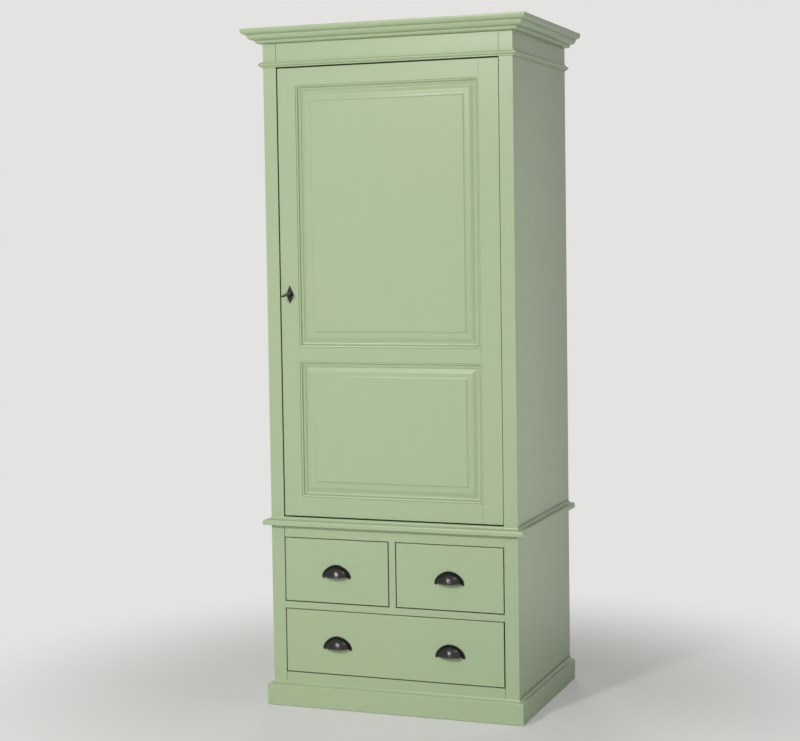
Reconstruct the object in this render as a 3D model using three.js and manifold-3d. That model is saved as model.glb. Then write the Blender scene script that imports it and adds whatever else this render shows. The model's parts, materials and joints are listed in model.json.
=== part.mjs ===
// Chifforobe: a tall panelled door over two small drawers and one wide drawer.
// Millimetres. X runs from left to right, Y from front to back and Z up.
// The origin lies on the floor, under the middle of the whole outline.

import * as THREE from 'three';
import { mergeVertices } from 'three/addons/utils/BufferGeometryUtils.js';
import Module from 'manifold-3d';

const wasm = await Module();
wasm.setup();

// Body
const bodyWidth = 765;
const bodyDepth = 550;
const totalHeight = 2005;
const boardThickness = 20;
const frameThickness = 20;
const stileWidth = 41;
const topThickness = 20;
const backThickness = 8;
const backRabbet = 10;
const backFloorGap = 30;

// Heights of the front, from the floor up
const bottomRailHeight = 101;
const lowerDrawerOpening = 192.5;
const dividerThickness = 20;
const upperDrawerOpening = 193.5;
const waistRailHeight = 60;
const friezeHeight = 92;

// Gaps that show round the door and the drawer fronts
const doorGapLock = 4;
const doorGapHinge = 1.5;
const doorGapTop = 4;
const doorGapBottom = 4.5;
const reveal = 2.5;

// Running and fitting clearances
const runClearance = 0.25;
const guideClearance = 1;
const fitGap = 0.3;
const pinClearance = 0.05;
const bitClearance = 0.6;

// Mouldings, measured out from the face of the body
const corniceProjection = 50;
const corniceHeight = 42;
const beadingProjection = 12;
const beadingHeight = 17.5;
const waistProjection = 20;
const waistHeight = 24;
const plinthProjection = 15.5;
const plinthHeight = 73;

// Door, with its panels placed from the edges of the doorway
const panelFromSide = 60.5;
const panelFromTop = 56;
const panelFromBottom = 61.5;
const doorMiddleRailHeight = 42;
const lowerPanelOpening = 401.5;
const panelGroove = 6;
const panelBorderDepth = 9;
const panelTongue = 5;
const panelFieldDepth = 1.5;
const panelBevelWidth = 28;
const panelMouldingWidth = 17;
const panelMouldingSetback = 1;

// Pivots of the door
const pinRadius = 4;
const pinInset = 16;
const pinSetback = 6;
const pinInRail = 12;
const pinInDoor = 25;

// Lock, key and escutcheon
const lockHeight = 1227;
const lockBackset = 28.5;
const caseHeight = 64;
const caseSetback = 9;
const caseWall = 2;
const caseBehindKey = 20;
const boltHeight = 10;
const boltThickness = 5;
const boltBehindKey = 12;
const boltAboveKey = 8.75;
const boltNotchLength = 9.5;
const boltNotchDepth = 2;
const boltNotchOffset = 3.25;
const mortiseDepth = 13;
const mortiseMargin = 1;
const shankRadius = 2.75;
const keyBowRadius = 14.5;
const keyBowBar = 5;
const keyBowThickness = 4;
const keyReach = 30;
const keyCollarRadius = 4.25;
const keyCollarLength = 3;
const keyBitLength = 10;
const keyBitThickness = 2.5;
const keyRestTurn = 115;
const escutcheonWidth = 26;
const escutcheonHeight = 55;
const escutcheonThickness = 2.5;

// Inside of the wardrobe
const shelfThickness = 18;
const shelfBelowTop = 280;
const shelfFrontGap = 60;
const shelfHousing = 6;
const stopWidth = 33;
const stopThickness = 18;
const railRadius = 12.5;
const railWall = 1.5;
const railBelowShelf = 60;
const socketFlangeRadius = 26;
const socketFlange = 3;
const socketCollarWall = 3;
const socketDepth = 12;

// Drawers and their pulls
const drawerLength = 490;
const drawerSideHeight = 150;
const drawerSideThickness = 12;
const drawerBottomThickness = 6;
const drawerBottomLift = 10;
const drawerGroove = 4;
const pullWidth = 92;
const pullHeight = 41.5;
const pullFlangeWidth = 6;
const pullFlangeThickness = 2;
const pullFootDrop = 6;
const pullProjection = 24;
const pullWall = 2;
const pullArchPower = 1.75;

// Steps in a full circle, for each kind of round piece
const pinSides = 24;
const curveSteps = 6;

// Places that follow from the sizes
const frontY = (corniceProjection - bodyDepth) / 2;
const backY = frontY + bodyDepth;
const frameBackY = frontY + frameThickness;
const backPanelY = backY - backThickness;
const sideX = bodyWidth / 2;
const innerX = sideX - boardThickness;
const openingX = sideX - stileWidth;
const frontX = openingX - reveal;
const doorLockX = doorGapLock - openingX;
const doorHingeX = openingX - doorGapHinge;
const carcaseTop = totalHeight - topThickness;
const dividerUnder = bottomRailHeight + lowerDrawerOpening;
const dividerTop = dividerUnder + dividerThickness;
const waistRailUnder = dividerTop + upperDrawerOpening;
const doorwayBottom = waistRailUnder + waistRailHeight;
const doorwayTop = carcaseTop - friezeHeight;
const floorUnder = doorwayBottom - boardThickness;

// Finishes, as colour, roughness and metalness
function finish(color, roughness, metalness) {
  return new THREE.MeshStandardMaterial({ color, roughness, metalness });
}
const paint = finish(0xacc09b, 0.5, 0);
const bareWood = finish(0xd9b98a, 0.7, 0);
const thinBoard = finish(0xcdb68e, 0.75, 0);
const darkIron = finish(0x33302c, 0.45, 0.8);
const steel = finish(0xb9bcc0, 0.3, 1);
const brass = finish(0xb08d4a, 0.35, 1);

// Turns a closed geometry into a solid that can be cut or joined.
function solid(geometry) {
  const plain = geometry.clone();
  plain.deleteAttribute('normal');
  plain.deleteAttribute('uv');
  const merged = mergeVertices(plain);
  return new wasm.Manifold(new wasm.Mesh({
    numProp: 3,
    vertProperties: merged.attributes.position.array,
    triVerts: merged.index.array,
  }));
}

// Turns a solid back into a geometry with flat faces.
function geometryOf(shape) {
  const { vertProperties, triVerts } = shape.getMesh();
  const geometry = new THREE.BufferGeometry();
  geometry.setAttribute('position', new THREE.BufferAttribute(vertProperties, 3));
  geometry.setIndex(new THREE.BufferAttribute(triVerts, 1));
  const flat = geometry.toNonIndexed();
  flat.computeVertexNormals();
  return flat;
}

function piece(name, material, geometry) {
  const mesh = new THREE.Mesh(geometry, material);
  mesh.name = name;
  return mesh;
}

// A block between its lowest and its highest corner.
function block(low, high) {
  const size = new THREE.Vector3().subVectors(high, low);
  const centre = new THREE.Vector3().addVectors(low, high).multiplyScalar(0.5);
  return new THREE.BoxGeometry(size.x, size.y, size.z).translate(centre.x, centre.y, centre.z);
}

function corner(x, y, z) {
  return new THREE.Vector3(x, y, z);
}

function board(name, material, low, high) {
  return piece(name, material, block(low, high));
}

function outline(points) {
  return new THREE.Shape(points.map(([u, v]) => new THREE.Vector2(u, v)));
}

// Extrudes an outline. Along x it is drawn in (y, z), along z in (x, y) and along y in (x, z).
function prism(shape, axis, from, to) {
  const geometry = new THREE.ExtrudeGeometry(shape, {
    depth: to - from,
    bevelEnabled: false,
    curveSegments: curveSteps,
  });
  const unitX = corner(1, 0, 0);
  const unitY = corner(0, 1, 0);
  const unitZ = corner(0, 0, 1);
  const turn = new THREE.Matrix4();
  if (axis === 'x') turn.makeBasis(unitY, unitZ, unitX).setPosition(from, 0, 0);
  if (axis === 'y') turn.makeBasis(unitX, unitZ, unitY.negate()).setPosition(0, to, 0);
  if (axis === 'z') turn.makeBasis(unitX, unitY, unitZ).setPosition(0, 0, from);
  return geometry.applyMatrix4(turn);
}

// A round bar along the y axis, from its first to its last y.
function barY(radius, x, from, to, z) {
  return new THREE.CylinderGeometry(radius, radius, to - from, pinSides)
    .translate(x, (from + to) / 2, z);
}

// A round bar along the z axis, from its first to its last z.
function barZ(radius, x, y, from, to) {
  return new THREE.CylinderGeometry(radius, radius, to - from, pinSides)
    .rotateX(Math.PI / 2)
    .translate(x, y, (from + to) / 2);
}

// Skins a row of loops with equal numbers of points, and closes the first and the last with caps.
// Where ring is true, the last loop is joined to the first instead.
function skin(loops, ring) {
  const count = loops[0].length;
  const positions = loops.flat().flatMap((point) => [point.x, point.y, point.z]);
  const faces = [];
  const bands = ring ? loops.length : loops.length - 1;
  for (let band = 0; band < bands; band += 1) {
    const near = band * count;
    const far = ((band + 1) % loops.length) * count;
    for (let step = 0; step < count; step += 1) {
      const next = (step + 1) % count;
      faces.push(near + step, near + next, far + next, near + step, far + next, far + step);
    }
  }
  if (!ring) {
    const last = (loops.length - 1) * count;
    for (let step = 1; step < count - 1; step += 1) {
      faces.push(0, step + 1, step, last, last + step, last + step + 1);
    }
  }
  const geometry = new THREE.BufferGeometry();
  geometry.setAttribute('position', new THREE.Float32BufferAttribute(positions, 3));
  geometry.setIndex(faces);
  const flat = geometry.toNonIndexed();
  flat.computeVertexNormals();
  return flat;
}

// A rectangle in a plane of constant y, drawn in by an inset. It runs round so that
// a skin from the back to the front faces outwards.
function rectangle(area, inset, y) {
  const left = area.left + inset;
  const right = area.right - inset;
  const bottom = area.bottom + inset;
  const top = area.top - inset;
  return [corner(left, y, bottom), corner(right, y, bottom), corner(right, y, top), corner(left, y, top)];
}

// Carcase
const carcase = new THREE.Group();
const shelfTop = carcaseTop - shelfBelowTop;
const shelfUnder = shelfTop - shelfThickness;
const shelfFrontY = frameBackY + shelfFrontGap;
const guideX = frontX + guideClearance;

// A side has a rabbet for the back and a stopped housing for the shelf.
function sidePanel(name, sign) {
  const face = outline([
    [sign * innerX, frameBackY],
    [sign * sideX, frameBackY],
    [sign * sideX, backY],
    [sign * (innerX + backRabbet), backY],
    [sign * (innerX + backRabbet), backPanelY],
    [sign * innerX, backPanelY],
  ]);
  const low = corner(Math.min(sign * innerX, sign * (innerX + shelfHousing)), shelfFrontY - fitGap, shelfUnder);
  const high = corner(Math.max(sign * innerX, sign * (innerX + shelfHousing)), backPanelY, shelfTop + fitGap);
  low.x -= sign > 0 ? fitGap : 0;
  high.x += sign > 0 ? 0 : fitGap;
  const shape = solid(prism(face, 'z', 0, carcaseTop)).subtract(solid(block(low, high)));
  return piece(name, paint, geometryOf(shape));
}

const keyX = doorLockX + lockBackset;
const boltUnder = lockHeight + boltAboveKey;
const boltTop = boltUnder + boltHeight;
const caseBackY = frameBackY - fitGap;
const caseFrontY = frontY + caseSetback + fitGap;
const boltFrontY = (caseFrontY + caseBackY - boltThickness) / 2;
const boltBackY = boltFrontY + boltThickness;

// The lock stile of the face frame has a mortise that takes the thrown bolt.
function faceStile(name, sign) {
  const low = corner(Math.min(sign * openingX, sign * sideX), frontY, 0);
  const high = corner(Math.max(sign * openingX, sign * sideX), frameBackY, carcaseTop);
  if (sign > 0) return board(name, paint, low, high);
  const mortise = block(
    corner(-openingX - mortiseDepth, boltFrontY - mortiseMargin, boltUnder - mortiseMargin),
    corner(-openingX + fitGap, boltBackY + mortiseMargin, boltTop + mortiseMargin),
  );
  return piece(name, paint, geometryOf(solid(block(low, high)).subtract(solid(mortise))));
}

// A rail of the face frame, with a hole for a door pivot where one is given.
const pinX = doorHingeX - pinInset;
const pinY = frontY + pinSetback;
function faceRail(name, under, top, hole) {
  const low = corner(-openingX, frontY, under);
  const high = corner(openingX, frameBackY, top);
  if (!hole) return board(name, paint, low, high);
  const bore = barZ(pinRadius + pinClearance, pinX, pinY, ...hole);
  return piece(name, paint, geometryOf(solid(block(low, high)).subtract(solid(bore))));
}

// The divider reaches out to the stiles in front and is held between the guides behind them.
function drawerDivider() {
  const shape = outline([
    [-openingX, frontY],
    [openingX, frontY],
    [openingX, frameBackY],
    [guideX, frameBackY],
    [guideX, backPanelY],
    [-guideX, backPanelY],
    [-guideX, frameBackY],
    [-openingX, frameBackY],
  ]);
  return piece('drawer_divider', paint, prism(shape, 'z', dividerUnder, dividerTop));
}

// The partition stands on the divider and is notched under the waist rail.
function drawerPartition() {
  const shape = outline([
    [frontY, dividerTop],
    [backPanelY, dividerTop],
    [backPanelY, floorUnder],
    [frameBackY, floorUnder],
    [frameBackY, waistRailUnder],
    [frontY, waistRailUnder],
  ]);
  return piece('drawer_partition', paint, prism(shape, 'x', -dividerThickness / 2, dividerThickness / 2));
}

carcase.add(
  sidePanel('side_panel_left', -1),
  sidePanel('side_panel_right', 1),
  faceStile('face_stile_left', -1),
  faceStile('face_stile_right', 1),
  faceRail('frieze_rail', doorwayTop, carcaseTop, [doorwayTop - fitGap, doorwayTop + pinInRail + fitGap]),
  faceRail('waist_rail', waistRailUnder, doorwayBottom, [doorwayBottom - pinInRail - fitGap, doorwayBottom + fitGap]),
  faceRail('bottom_rail', 0, bottomRailHeight),
  drawerDivider(),
  drawerPartition(),
  board(
    'top_board',
    paint,
    corner(-sideX, frontY, carcaseTop),
    corner(sideX, backY, totalHeight),
  ),
  board(
    'wardrobe_floor',
    paint,
    corner(-innerX, frameBackY, floorUnder),
    corner(innerX, backPanelY, doorwayBottom),
  ),
  board(
    'bottom_board',
    bareWood,
    corner(-innerX, frameBackY, bottomRailHeight - boardThickness),
    corner(innerX, backPanelY, bottomRailHeight),
  ),
  board(
    'drawer_guide_left',
    bareWood,
    corner(-innerX, frameBackY, bottomRailHeight),
    corner(-guideX, backPanelY, floorUnder),
  ),
  board(
    'drawer_guide_right',
    bareWood,
    corner(guideX, frameBackY, bottomRailHeight),
    corner(innerX, backPanelY, floorUnder),
  ),
  board(
    'back_panel',
    thinBoard,
    corner(-innerX - backRabbet + fitGap, backPanelY, backFloorGap),
    corner(innerX + backRabbet - fitGap, backY, carcaseTop),
  ),
  board(
    'hat_shelf',
    paint,
    corner(-innerX - shelfHousing + fitGap, shelfFrontY, shelfUnder),
    corner(innerX + shelfHousing - fitGap, backPanelY, shelfTop),
  ),
  board(
    'door_stop',
    paint,
    corner(-innerX, frameBackY + runClearance, doorwayBottom),
    corner(-innerX + stopWidth, frameBackY + runClearance + stopThickness, doorwayTop),
  ),
);

// Hanging rail in its two sockets
const railZ = shelfUnder - railBelowShelf;
const railY = (frameBackY + backPanelY) / 2;
const socketReach = socketFlange + socketDepth;

// A tube profile that closes on itself, turned about the rail.
function hangingRail() {
  const half = innerX - socketFlange - fitGap;
  const profile = [
    [railRadius - railWall, -half],
    [railRadius, -half],
    [railRadius, half],
    [railRadius - railWall, half],
    [railRadius - railWall, -half],
  ].map(([radius, along]) => new THREE.Vector2(radius, along));
  const mesh = piece('hanging_rail', steel, new THREE.LatheGeometry(profile, pinSides));
  mesh.rotation.z = -Math.PI / 2;
  mesh.position.set(0, railY, railZ);
  return mesh;
}

function railSocket(name, sign) {
  const bore = railRadius + fitGap;
  const profile = [
    [0, 0],
    [socketFlangeRadius, 0],
    [socketFlangeRadius, socketFlange],
    [bore + socketCollarWall, socketFlange],
    [bore + socketCollarWall, socketReach],
    [bore, socketReach],
    [bore, socketFlange],
    [0, socketFlange],
  ].map(([radius, along]) => new THREE.Vector2(radius, along));
  const mesh = piece(name, steel, new THREE.LatheGeometry(profile, pinSides));
  mesh.rotation.z = sign * Math.PI / 2;
  mesh.position.set(sign * innerX, railY, railZ);
  return mesh;
}

carcase.add(hangingRail(), railSocket('rail_socket_left', -1), railSocket('rail_socket_right', 1));

// Mouldings: each profile is drawn as (projection from the body, height above its underside)
function corniceProfile() {
  const stepShares = [
    { tread: 0.21, ovoloWidth: 0.14, riser: 0, ovoloHeight: 0.167 },
    { tread: 0.09, ovoloWidth: 0.28, riser: 0.06, ovoloHeight: 0.333 },
    { tread: 0.04, ovoloWidth: 0.24, riser: 0.036, ovoloHeight: 0.286 },
  ];
  const shape = new THREE.Shape();
  let out = 0;
  let up = 0;
  shape.moveTo(0, 0);
  for (const step of stepShares) {
    up += step.riser * corniceHeight;
    shape.lineTo(out, up);
    out += step.tread * corniceProjection;
    shape.lineTo(out, up);
    const width = step.ovoloWidth * corniceProjection;
    const height = step.ovoloHeight * corniceHeight;
    shape.absellipse(out, up + height, width, height, -Math.PI / 2, 0, false);
    out += width;
    up += height;
  }
  shape.lineTo(out, corniceHeight);
  shape.lineTo(0, corniceHeight);
  return shape;
}

// A round bead between two fillets.
function beadingProfile() {
  const filletShare = 0.2;
  const filletDepthShare = 0.42;
  const fillet = filletShare * beadingHeight;
  const depth = filletDepthShare * beadingProjection;
  const middle = beadingHeight / 2;
  const shape = new THREE.Shape();
  shape.moveTo(0, 0);
  shape.lineTo(depth, 0);
  shape.lineTo(depth, fillet);
  shape.absellipse(depth, middle, beadingProjection - depth, middle - fillet, -Math.PI / 2, Math.PI / 2, false);
  shape.lineTo(depth, beadingHeight);
  shape.lineTo(0, beadingHeight);
  return shape;
}

// A flat nose with a rounded top edge, then a small tread and a hollow that runs up to the body.
function waistProfile() {
  const noseShare = 0.3;
  const roundWidthShare = 0.25;
  const roundHeightShare = 0.32;
  const treadShare = 0.12;
  const nose = noseShare * waistHeight;
  const roundWidth = roundWidthShare * waistProjection;
  const roundHeight = roundHeightShare * waistHeight;
  const shoulder = nose + roundHeight;
  const hollowFoot = waistProjection - roundWidth - treadShare * waistProjection;
  const shape = new THREE.Shape();
  shape.moveTo(0, 0);
  shape.lineTo(waistProjection, 0);
  shape.lineTo(waistProjection, nose);
  shape.absellipse(waistProjection - roundWidth, nose, roundWidth, roundHeight, 0, Math.PI / 2, false);
  shape.lineTo(hollowFoot, shoulder);
  shape.quadraticCurveTo(0, shoulder, 0, waistHeight);
  return shape;
}

// A board with a hollow top edge.
function plinthProfile() {
  const faceShare = 0.84;
  const edgeWidthShare = 0.1;
  const edgeRiseShare = 0.04;
  const face = faceShare * plinthHeight;
  const shape = new THREE.Shape();
  shape.moveTo(0, 0);
  shape.lineTo(plinthProjection, 0);
  shape.lineTo(plinthProjection, face);
  shape.lineTo(plinthProjection - edgeWidthShare * plinthProjection, face + edgeRiseShare * plinthHeight);
  shape.lineTo(0, plinthHeight);
  return shape;
}

// One length of moulding, drawn along +x from 0 with its face towards -y. A mitred end
// runs on by the projection of each point, and a square end is cut flush.
function mouldingLength(shape, length, startMitre, endMitre) {
  const geometry = new THREE.ExtrudeGeometry(shape, {
    depth: 1,
    bevelEnabled: false,
    curveSegments: curveSteps,
  });
  const place = geometry.attributes.position;
  for (let index = 0; index < place.count; index += 1) {
    const out = place.getX(index);
    const up = place.getY(index);
    const start = startMitre ? -out : 0;
    const end = length + (endMitre ? out : 0);
    const x = place.getZ(index) > 0 ? start : end;
    place.setXYZ(index, x, -out, up);
  }
  geometry.computeVertexNormals();
  return geometry;
}

// A moulding goes round the front and both sides, mitred at the front corners.
function mouldingRun(name, shape, under) {
  const front = piece(`${name}_front`, paint, mouldingLength(shape, bodyWidth, true, true));
  front.position.set(-sideX, frontY, under);
  const left = piece(`${name}_left`, paint, mouldingLength(shape, bodyDepth, false, true));
  left.rotation.z = -Math.PI / 2;
  left.position.set(-sideX, backY, under);
  const right = piece(`${name}_right`, paint, mouldingLength(shape, bodyDepth, true, false));
  right.rotation.z = Math.PI / 2;
  right.position.set(sideX, frontY, under);
  return [front, left, right];
}

const mouldings = new THREE.Group();
mouldings.add(
  ...mouldingRun('cornice', corniceProfile(), totalHeight - corniceHeight),
  ...mouldingRun('beading', beadingProfile(), doorwayTop),
  ...mouldingRun('waist_moulding', waistProfile(), doorwayBottom - waistHeight),
  ...mouldingRun('plinth', plinthProfile(), 0),
);

// Door
const doorBottom = doorwayBottom + doorGapBottom;
const doorTop = doorwayTop - doorGapTop;
const panelX = openingX - panelFromSide;
const lowerOpening = {
  left: -panelX,
  right: panelX,
  bottom: doorwayBottom + panelFromBottom,
  top: doorwayBottom + panelFromBottom + lowerPanelOpening,
};
const upperOpening = {
  left: -panelX,
  right: panelX,
  bottom: lowerOpening.top + doorMiddleRailHeight,
  top: doorwayTop - panelFromTop,
};
const borderY = frontY + panelBorderDepth;
const panelBackY = borderY + panelTongue;

// The space that the panels' tongues take inside the frame, a little larger than the tongues.
function groove(area) {
  const reach = panelGroove + fitGap;
  return block(
    corner(area.left - reach, borderY, area.bottom - reach),
    corner(area.right + reach, panelBackY, area.top + reach),
  );
}

// The keyhole is a round hole with a slot below it for the bit.
const keyholeRadius = (shankRadius + pinClearance) / Math.cos(Math.PI / pinSides);
function keyhole(from, to) {
  const slot = block(
    corner(keyX - keyBitThickness / 2 - fitGap, from, lockHeight - keyBitLength - fitGap),
    corner(keyX + keyBitThickness / 2 + fitGap, to, lockHeight),
  );
  return solid(barY(keyholeRadius, keyX, from, to, lockHeight)).add(solid(slot));
}

const caseEndX = keyX + caseBehindKey;
const caseLow = corner(doorLockX, caseFrontY, lockHeight - caseHeight / 2);
const caseHigh = corner(caseEndX, caseBackY, lockHeight + caseHeight / 2);

function doorStile(name, sign) {
  const left = sign > 0 ? panelX : doorLockX;
  const right = sign > 0 ? doorHingeX : -panelX;
  let shape = solid(block(corner(left, frontY, doorBottom), corner(right, frameBackY, doorTop)));
  shape = shape.subtract(solid(groove(upperOpening))).subtract(solid(groove(lowerOpening)));
  if (sign > 0) {
    const bore = pinRadius + pinClearance;
    const lowerHole = barZ(bore, pinX, pinY, doorBottom - fitGap, doorBottom + pinInDoor + fitGap);
    const upperHole = barZ(bore, pinX, pinY, doorTop - pinInDoor - fitGap, doorTop + fitGap);
    shape = shape.subtract(solid(lowerHole)).subtract(solid(upperHole));
  } else {
    const recess = block(
      corner(caseLow.x - fitGap, caseLow.y - fitGap, caseLow.z - fitGap),
      corner(caseHigh.x + fitGap, frameBackY + fitGap, caseHigh.z + fitGap),
    );
    shape = shape.subtract(solid(recess)).subtract(keyhole(frontY - fitGap, caseHigh.y));
  }
  return piece(name, paint, geometryOf(shape));
}

function doorRail(name, under, top) {
  const whole = solid(block(corner(-panelX, frontY, under), corner(panelX, frameBackY, top)));
  const shape = whole.subtract(solid(groove(upperOpening))).subtract(solid(groove(lowerOpening)));
  return piece(name, paint, geometryOf(shape));
}

// A raised panel: a tongue all round, a rounded bevel, a small shoulder and a flat field.
function doorPanel(name, area) {
  const bevelShares = [
    { inset: 0, rise: 0 },
    { inset: 0.15, rise: 0.2 },
    { inset: 0.32, rise: 0.45 },
    { inset: 0.5, rise: 0.64 },
    { inset: 0.7, rise: 0.73 },
    { inset: 0.89, rise: 0.76 },
    { inset: 0.96, rise: 0.92 },
    { inset: 1, rise: 1 },
  ];
  const tongue = -panelGroove;
  const rise = panelBorderDepth - panelFieldDepth;
  const loops = [rectangle(area, tongue, panelBackY), rectangle(area, tongue, borderY)];
  for (const share of bevelShares) {
    const inset = panelMouldingWidth + share.inset * panelBevelWidth;
    loops.push(rectangle(area, inset, borderY - share.rise * rise));
  }
  return piece(name, paint, skin(loops, false));
}

// The planted moulding round a panel: a flat, a quirk and a bead.
function panelMoulding(name, area) {
  const profileShares = [
    { across: 0, up: 0 },
    { across: 0, up: 1 },
    { across: 0.47, up: 0.88 },
    { across: 0.5, up: 0.66 },
    { across: 0.58, up: 0.66 },
    { across: 0.64, up: 0.82 },
    { across: 0.76, up: 0.88 },
    { across: 0.88, up: 0.76 },
    { across: 0.97, up: 0.46 },
    { across: 1, up: 0 },
  ];
  const depth = panelBorderDepth - panelMouldingSetback;
  const loops = profileShares.map((share) => rectangle(
    area,
    share.across * panelMouldingWidth,
    borderY - share.up * depth,
  ));
  return piece(name, paint, skin(loops, true));
}

function hingePin(name, from, to) {
  return piece(name, steel, barZ(pinRadius, pinX, pinY, from, to));
}

const door = new THREE.Group();
door.add(
  doorStile('door_stile_lock', -1),
  doorStile('door_stile_hinge', 1),
  doorRail('door_top_rail', upperOpening.top, doorTop),
  doorRail('door_middle_rail', lowerOpening.top, upperOpening.bottom),
  doorRail('door_bottom_rail', doorBottom, lowerOpening.bottom),
  doorPanel('door_upper_panel', upperOpening),
  doorPanel('door_lower_panel', lowerOpening),
  panelMoulding('upper_panel_moulding', upperOpening),
  panelMoulding('lower_panel_moulding', lowerOpening),
  hingePin('hinge_pin_top', doorTop - pinInDoor, doorwayTop + pinInRail),
  hingePin('hinge_pin_bottom', doorwayBottom - pinInRail, doorBottom + pinInDoor),
);

// Lock
const boltBackX = keyX + boltBehindKey;
const chamberRadius = keyBitLength + bitClearance;

// The case is hollow for the bolt and for the turning bit, and open at its edge and keyhole.
function lockCase() {
  const chamberFrontY = caseFrontY + caseWall;
  const chamberBackY = caseBackY - caseWall;
  const channel = block(
    corner(doorLockX - fitGap, boltFrontY - fitGap, boltUnder - runClearance),
    corner(caseEndX - caseWall, boltBackY + fitGap, boltTop + runClearance),
  );
  const chamber = barY(chamberRadius, keyX, chamberFrontY, chamberBackY, lockHeight);
  const shape = solid(block(caseLow, caseHigh))
    .subtract(solid(channel))
    .subtract(solid(chamber))
    .subtract(keyhole(caseFrontY - fitGap, chamberBackY));
  return piece('lock_case', steel, geometryOf(shape));
}

// The bolt is a bar with a notch in its lower edge, which the bit drives.
function lockBolt() {
  const notchX = keyX + boltNotchOffset;
  const notchLeft = notchX - boltNotchLength / 2;
  const notchRight = notchX + boltNotchLength / 2;
  const shape = outline([
    [doorLockX, boltUnder],
    [notchLeft, boltUnder],
    [notchLeft, boltUnder + boltNotchDepth],
    [notchRight, boltUnder + boltNotchDepth],
    [notchRight, boltUnder],
    [boltBackX, boltUnder],
    [boltBackX, boltTop],
    [doorLockX, boltTop],
  ]);
  return piece('lock_bolt', brass, prism(shape, 'y', boltFrontY, boltBackY));
}

// The key is drawn with its bit straight down, about an axis along y through its own origin.
function doorKey() {
  const bow = new THREE.Shape();
  bow.absarc(-keyReach, 0, keyBowRadius, 0, Math.PI * 2, false);
  const hole = new THREE.Path();
  hole.absarc(-keyReach, 0, keyBowRadius - keyBowBar, 0, Math.PI * 2, true);
  bow.holes.push(hole);
  const shankFront = -keyReach + keyBowRadius - keyBowBar / 2;
  const shankBack = boltBackY - frontY;
  const bitFront = boltFrontY - frontY;
  const collarBack = -escutcheonThickness - runClearance;
  const bit = block(
    corner(-keyBitThickness / 2, bitFront, -keyBitLength),
    corner(keyBitThickness / 2, shankBack, 0),
  );
  const shape = solid(prism(bow, 'x', -keyBowThickness / 2, keyBowThickness / 2))
    .add(solid(barY(shankRadius, 0, shankFront, shankBack, 0)))
    .add(solid(barY(keyCollarRadius, 0, collarBack - keyCollarLength, collarBack, 0)))
    .add(solid(bit));
  const mesh = piece('key', darkIron, geometryOf(shape));
  mesh.rotation.y = -THREE.MathUtils.degToRad(keyRestTurn);
  mesh.position.set(keyX, frontY, lockHeight);
  return mesh;
}

// A diamond plate with a bevelled edge, bored for the key.
function escutcheon() {
  const levelShares = [
    { size: 1, depth: 0 },
    { size: 1, depth: 0.5 },
    { size: 0.82, depth: 1 },
  ];
  const loops = levelShares.map(({ size, depth }) => {
    const x = size * escutcheonWidth / 2;
    const z = size * escutcheonHeight / 2;
    const y = frontY - depth * escutcheonThickness;
    return [
      corner(keyX, y, lockHeight - z),
      corner(keyX + x, y, lockHeight),
      corner(keyX, y, lockHeight + z),
      corner(keyX - x, y, lockHeight),
    ];
  });
  const plate = solid(skin(loops, false));
  const shape = plate.subtract(keyhole(frontY - escutcheonThickness - fitGap, frontY + fitGap));
  return piece('escutcheon', darkIron, geometryOf(shape));
}

door.add(escutcheon(), lockCase(), lockBolt(), doorKey());

// Drawers
// The arch of a pull is a superellipse, a little less full than an ellipse. Its radius in a
// direction (across, up) of length 1 is (across ^ power + up ^ power) ^ (-1 / power).
function archRadius(across, up) {
  const sum = Math.abs(across) ** pullArchPower + Math.abs(up) ** pullArchPower;
  return sum ** (-1 / pullArchPower);
}

// Half of the arch, from its right end to its left end.
function archPoints(halfWidth, height) {
  const points = [];
  for (let step = 0; step <= pinSides; step += 1) {
    const across = Math.cos(Math.PI * step / pinSides);
    const up = Math.sin(Math.PI * step / pinSides);
    const radius = archRadius(across, up);
    points.push([halfWidth * radius * across, height * radius * up]);
  }
  return points;
}

// A ball of radius 1 that is drawn in to the arch all along its y axis, then scaled.
function archedDome(halfWidth, projection, height) {
  const geometry = new THREE.SphereGeometry(1, pinSides, pinSides / 2);
  const place = geometry.attributes.position;
  for (let index = 0; index < place.count; index += 1) {
    const x = place.getX(index);
    const z = place.getZ(index);
    const reach = Math.hypot(x, z);
    const radius = reach > 0 ? archRadius(x / reach, z / reach) : 1;
    place.setXYZ(index, x * radius, place.getY(index), z * radius);
  }
  return solid(geometry.scale(halfWidth, projection, height));
}

// A pull is a quarter of a hollow dome, open underneath, on a flange with two feet.
function cupPull(name, centreX, centreZ) {
  const domeX = pullWidth / 2 - pullFlangeWidth;
  const domeHeight = pullHeight - pullFlangeWidth - pullFootDrop;
  const outside = archedDome(domeX, pullProjection, domeHeight);
  const inside = archedDome(domeX - pullWall, pullProjection - pullWall, domeHeight - pullWall);
  const quarter = block(corner(-pullWidth, -pullWidth, 0), corner(pullWidth, 0, pullHeight));
  const shell = outside.subtract(inside).intersect(solid(quarter));
  const gapX = domeX - pullWall;
  const rim = outline([
    [pullWidth / 2, -pullFootDrop],
    ...archPoints(pullWidth / 2, pullHeight - pullFootDrop),
    [-pullWidth / 2, -pullFootDrop],
    [-gapX, -pullFootDrop],
    ...archPoints(gapX, domeHeight - pullWall).reverse(),
    [gapX, -pullFootDrop],
  ]);
  const flange = solid(prism(rim, 'y', -pullFlangeThickness, 0));
  const mesh = piece(name, darkIron, geometryOf(shell.add(flange)));
  mesh.position.set(centreX, frontY, centreZ - pullHeight / 2 + pullFootDrop);
  return mesh;
}

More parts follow.
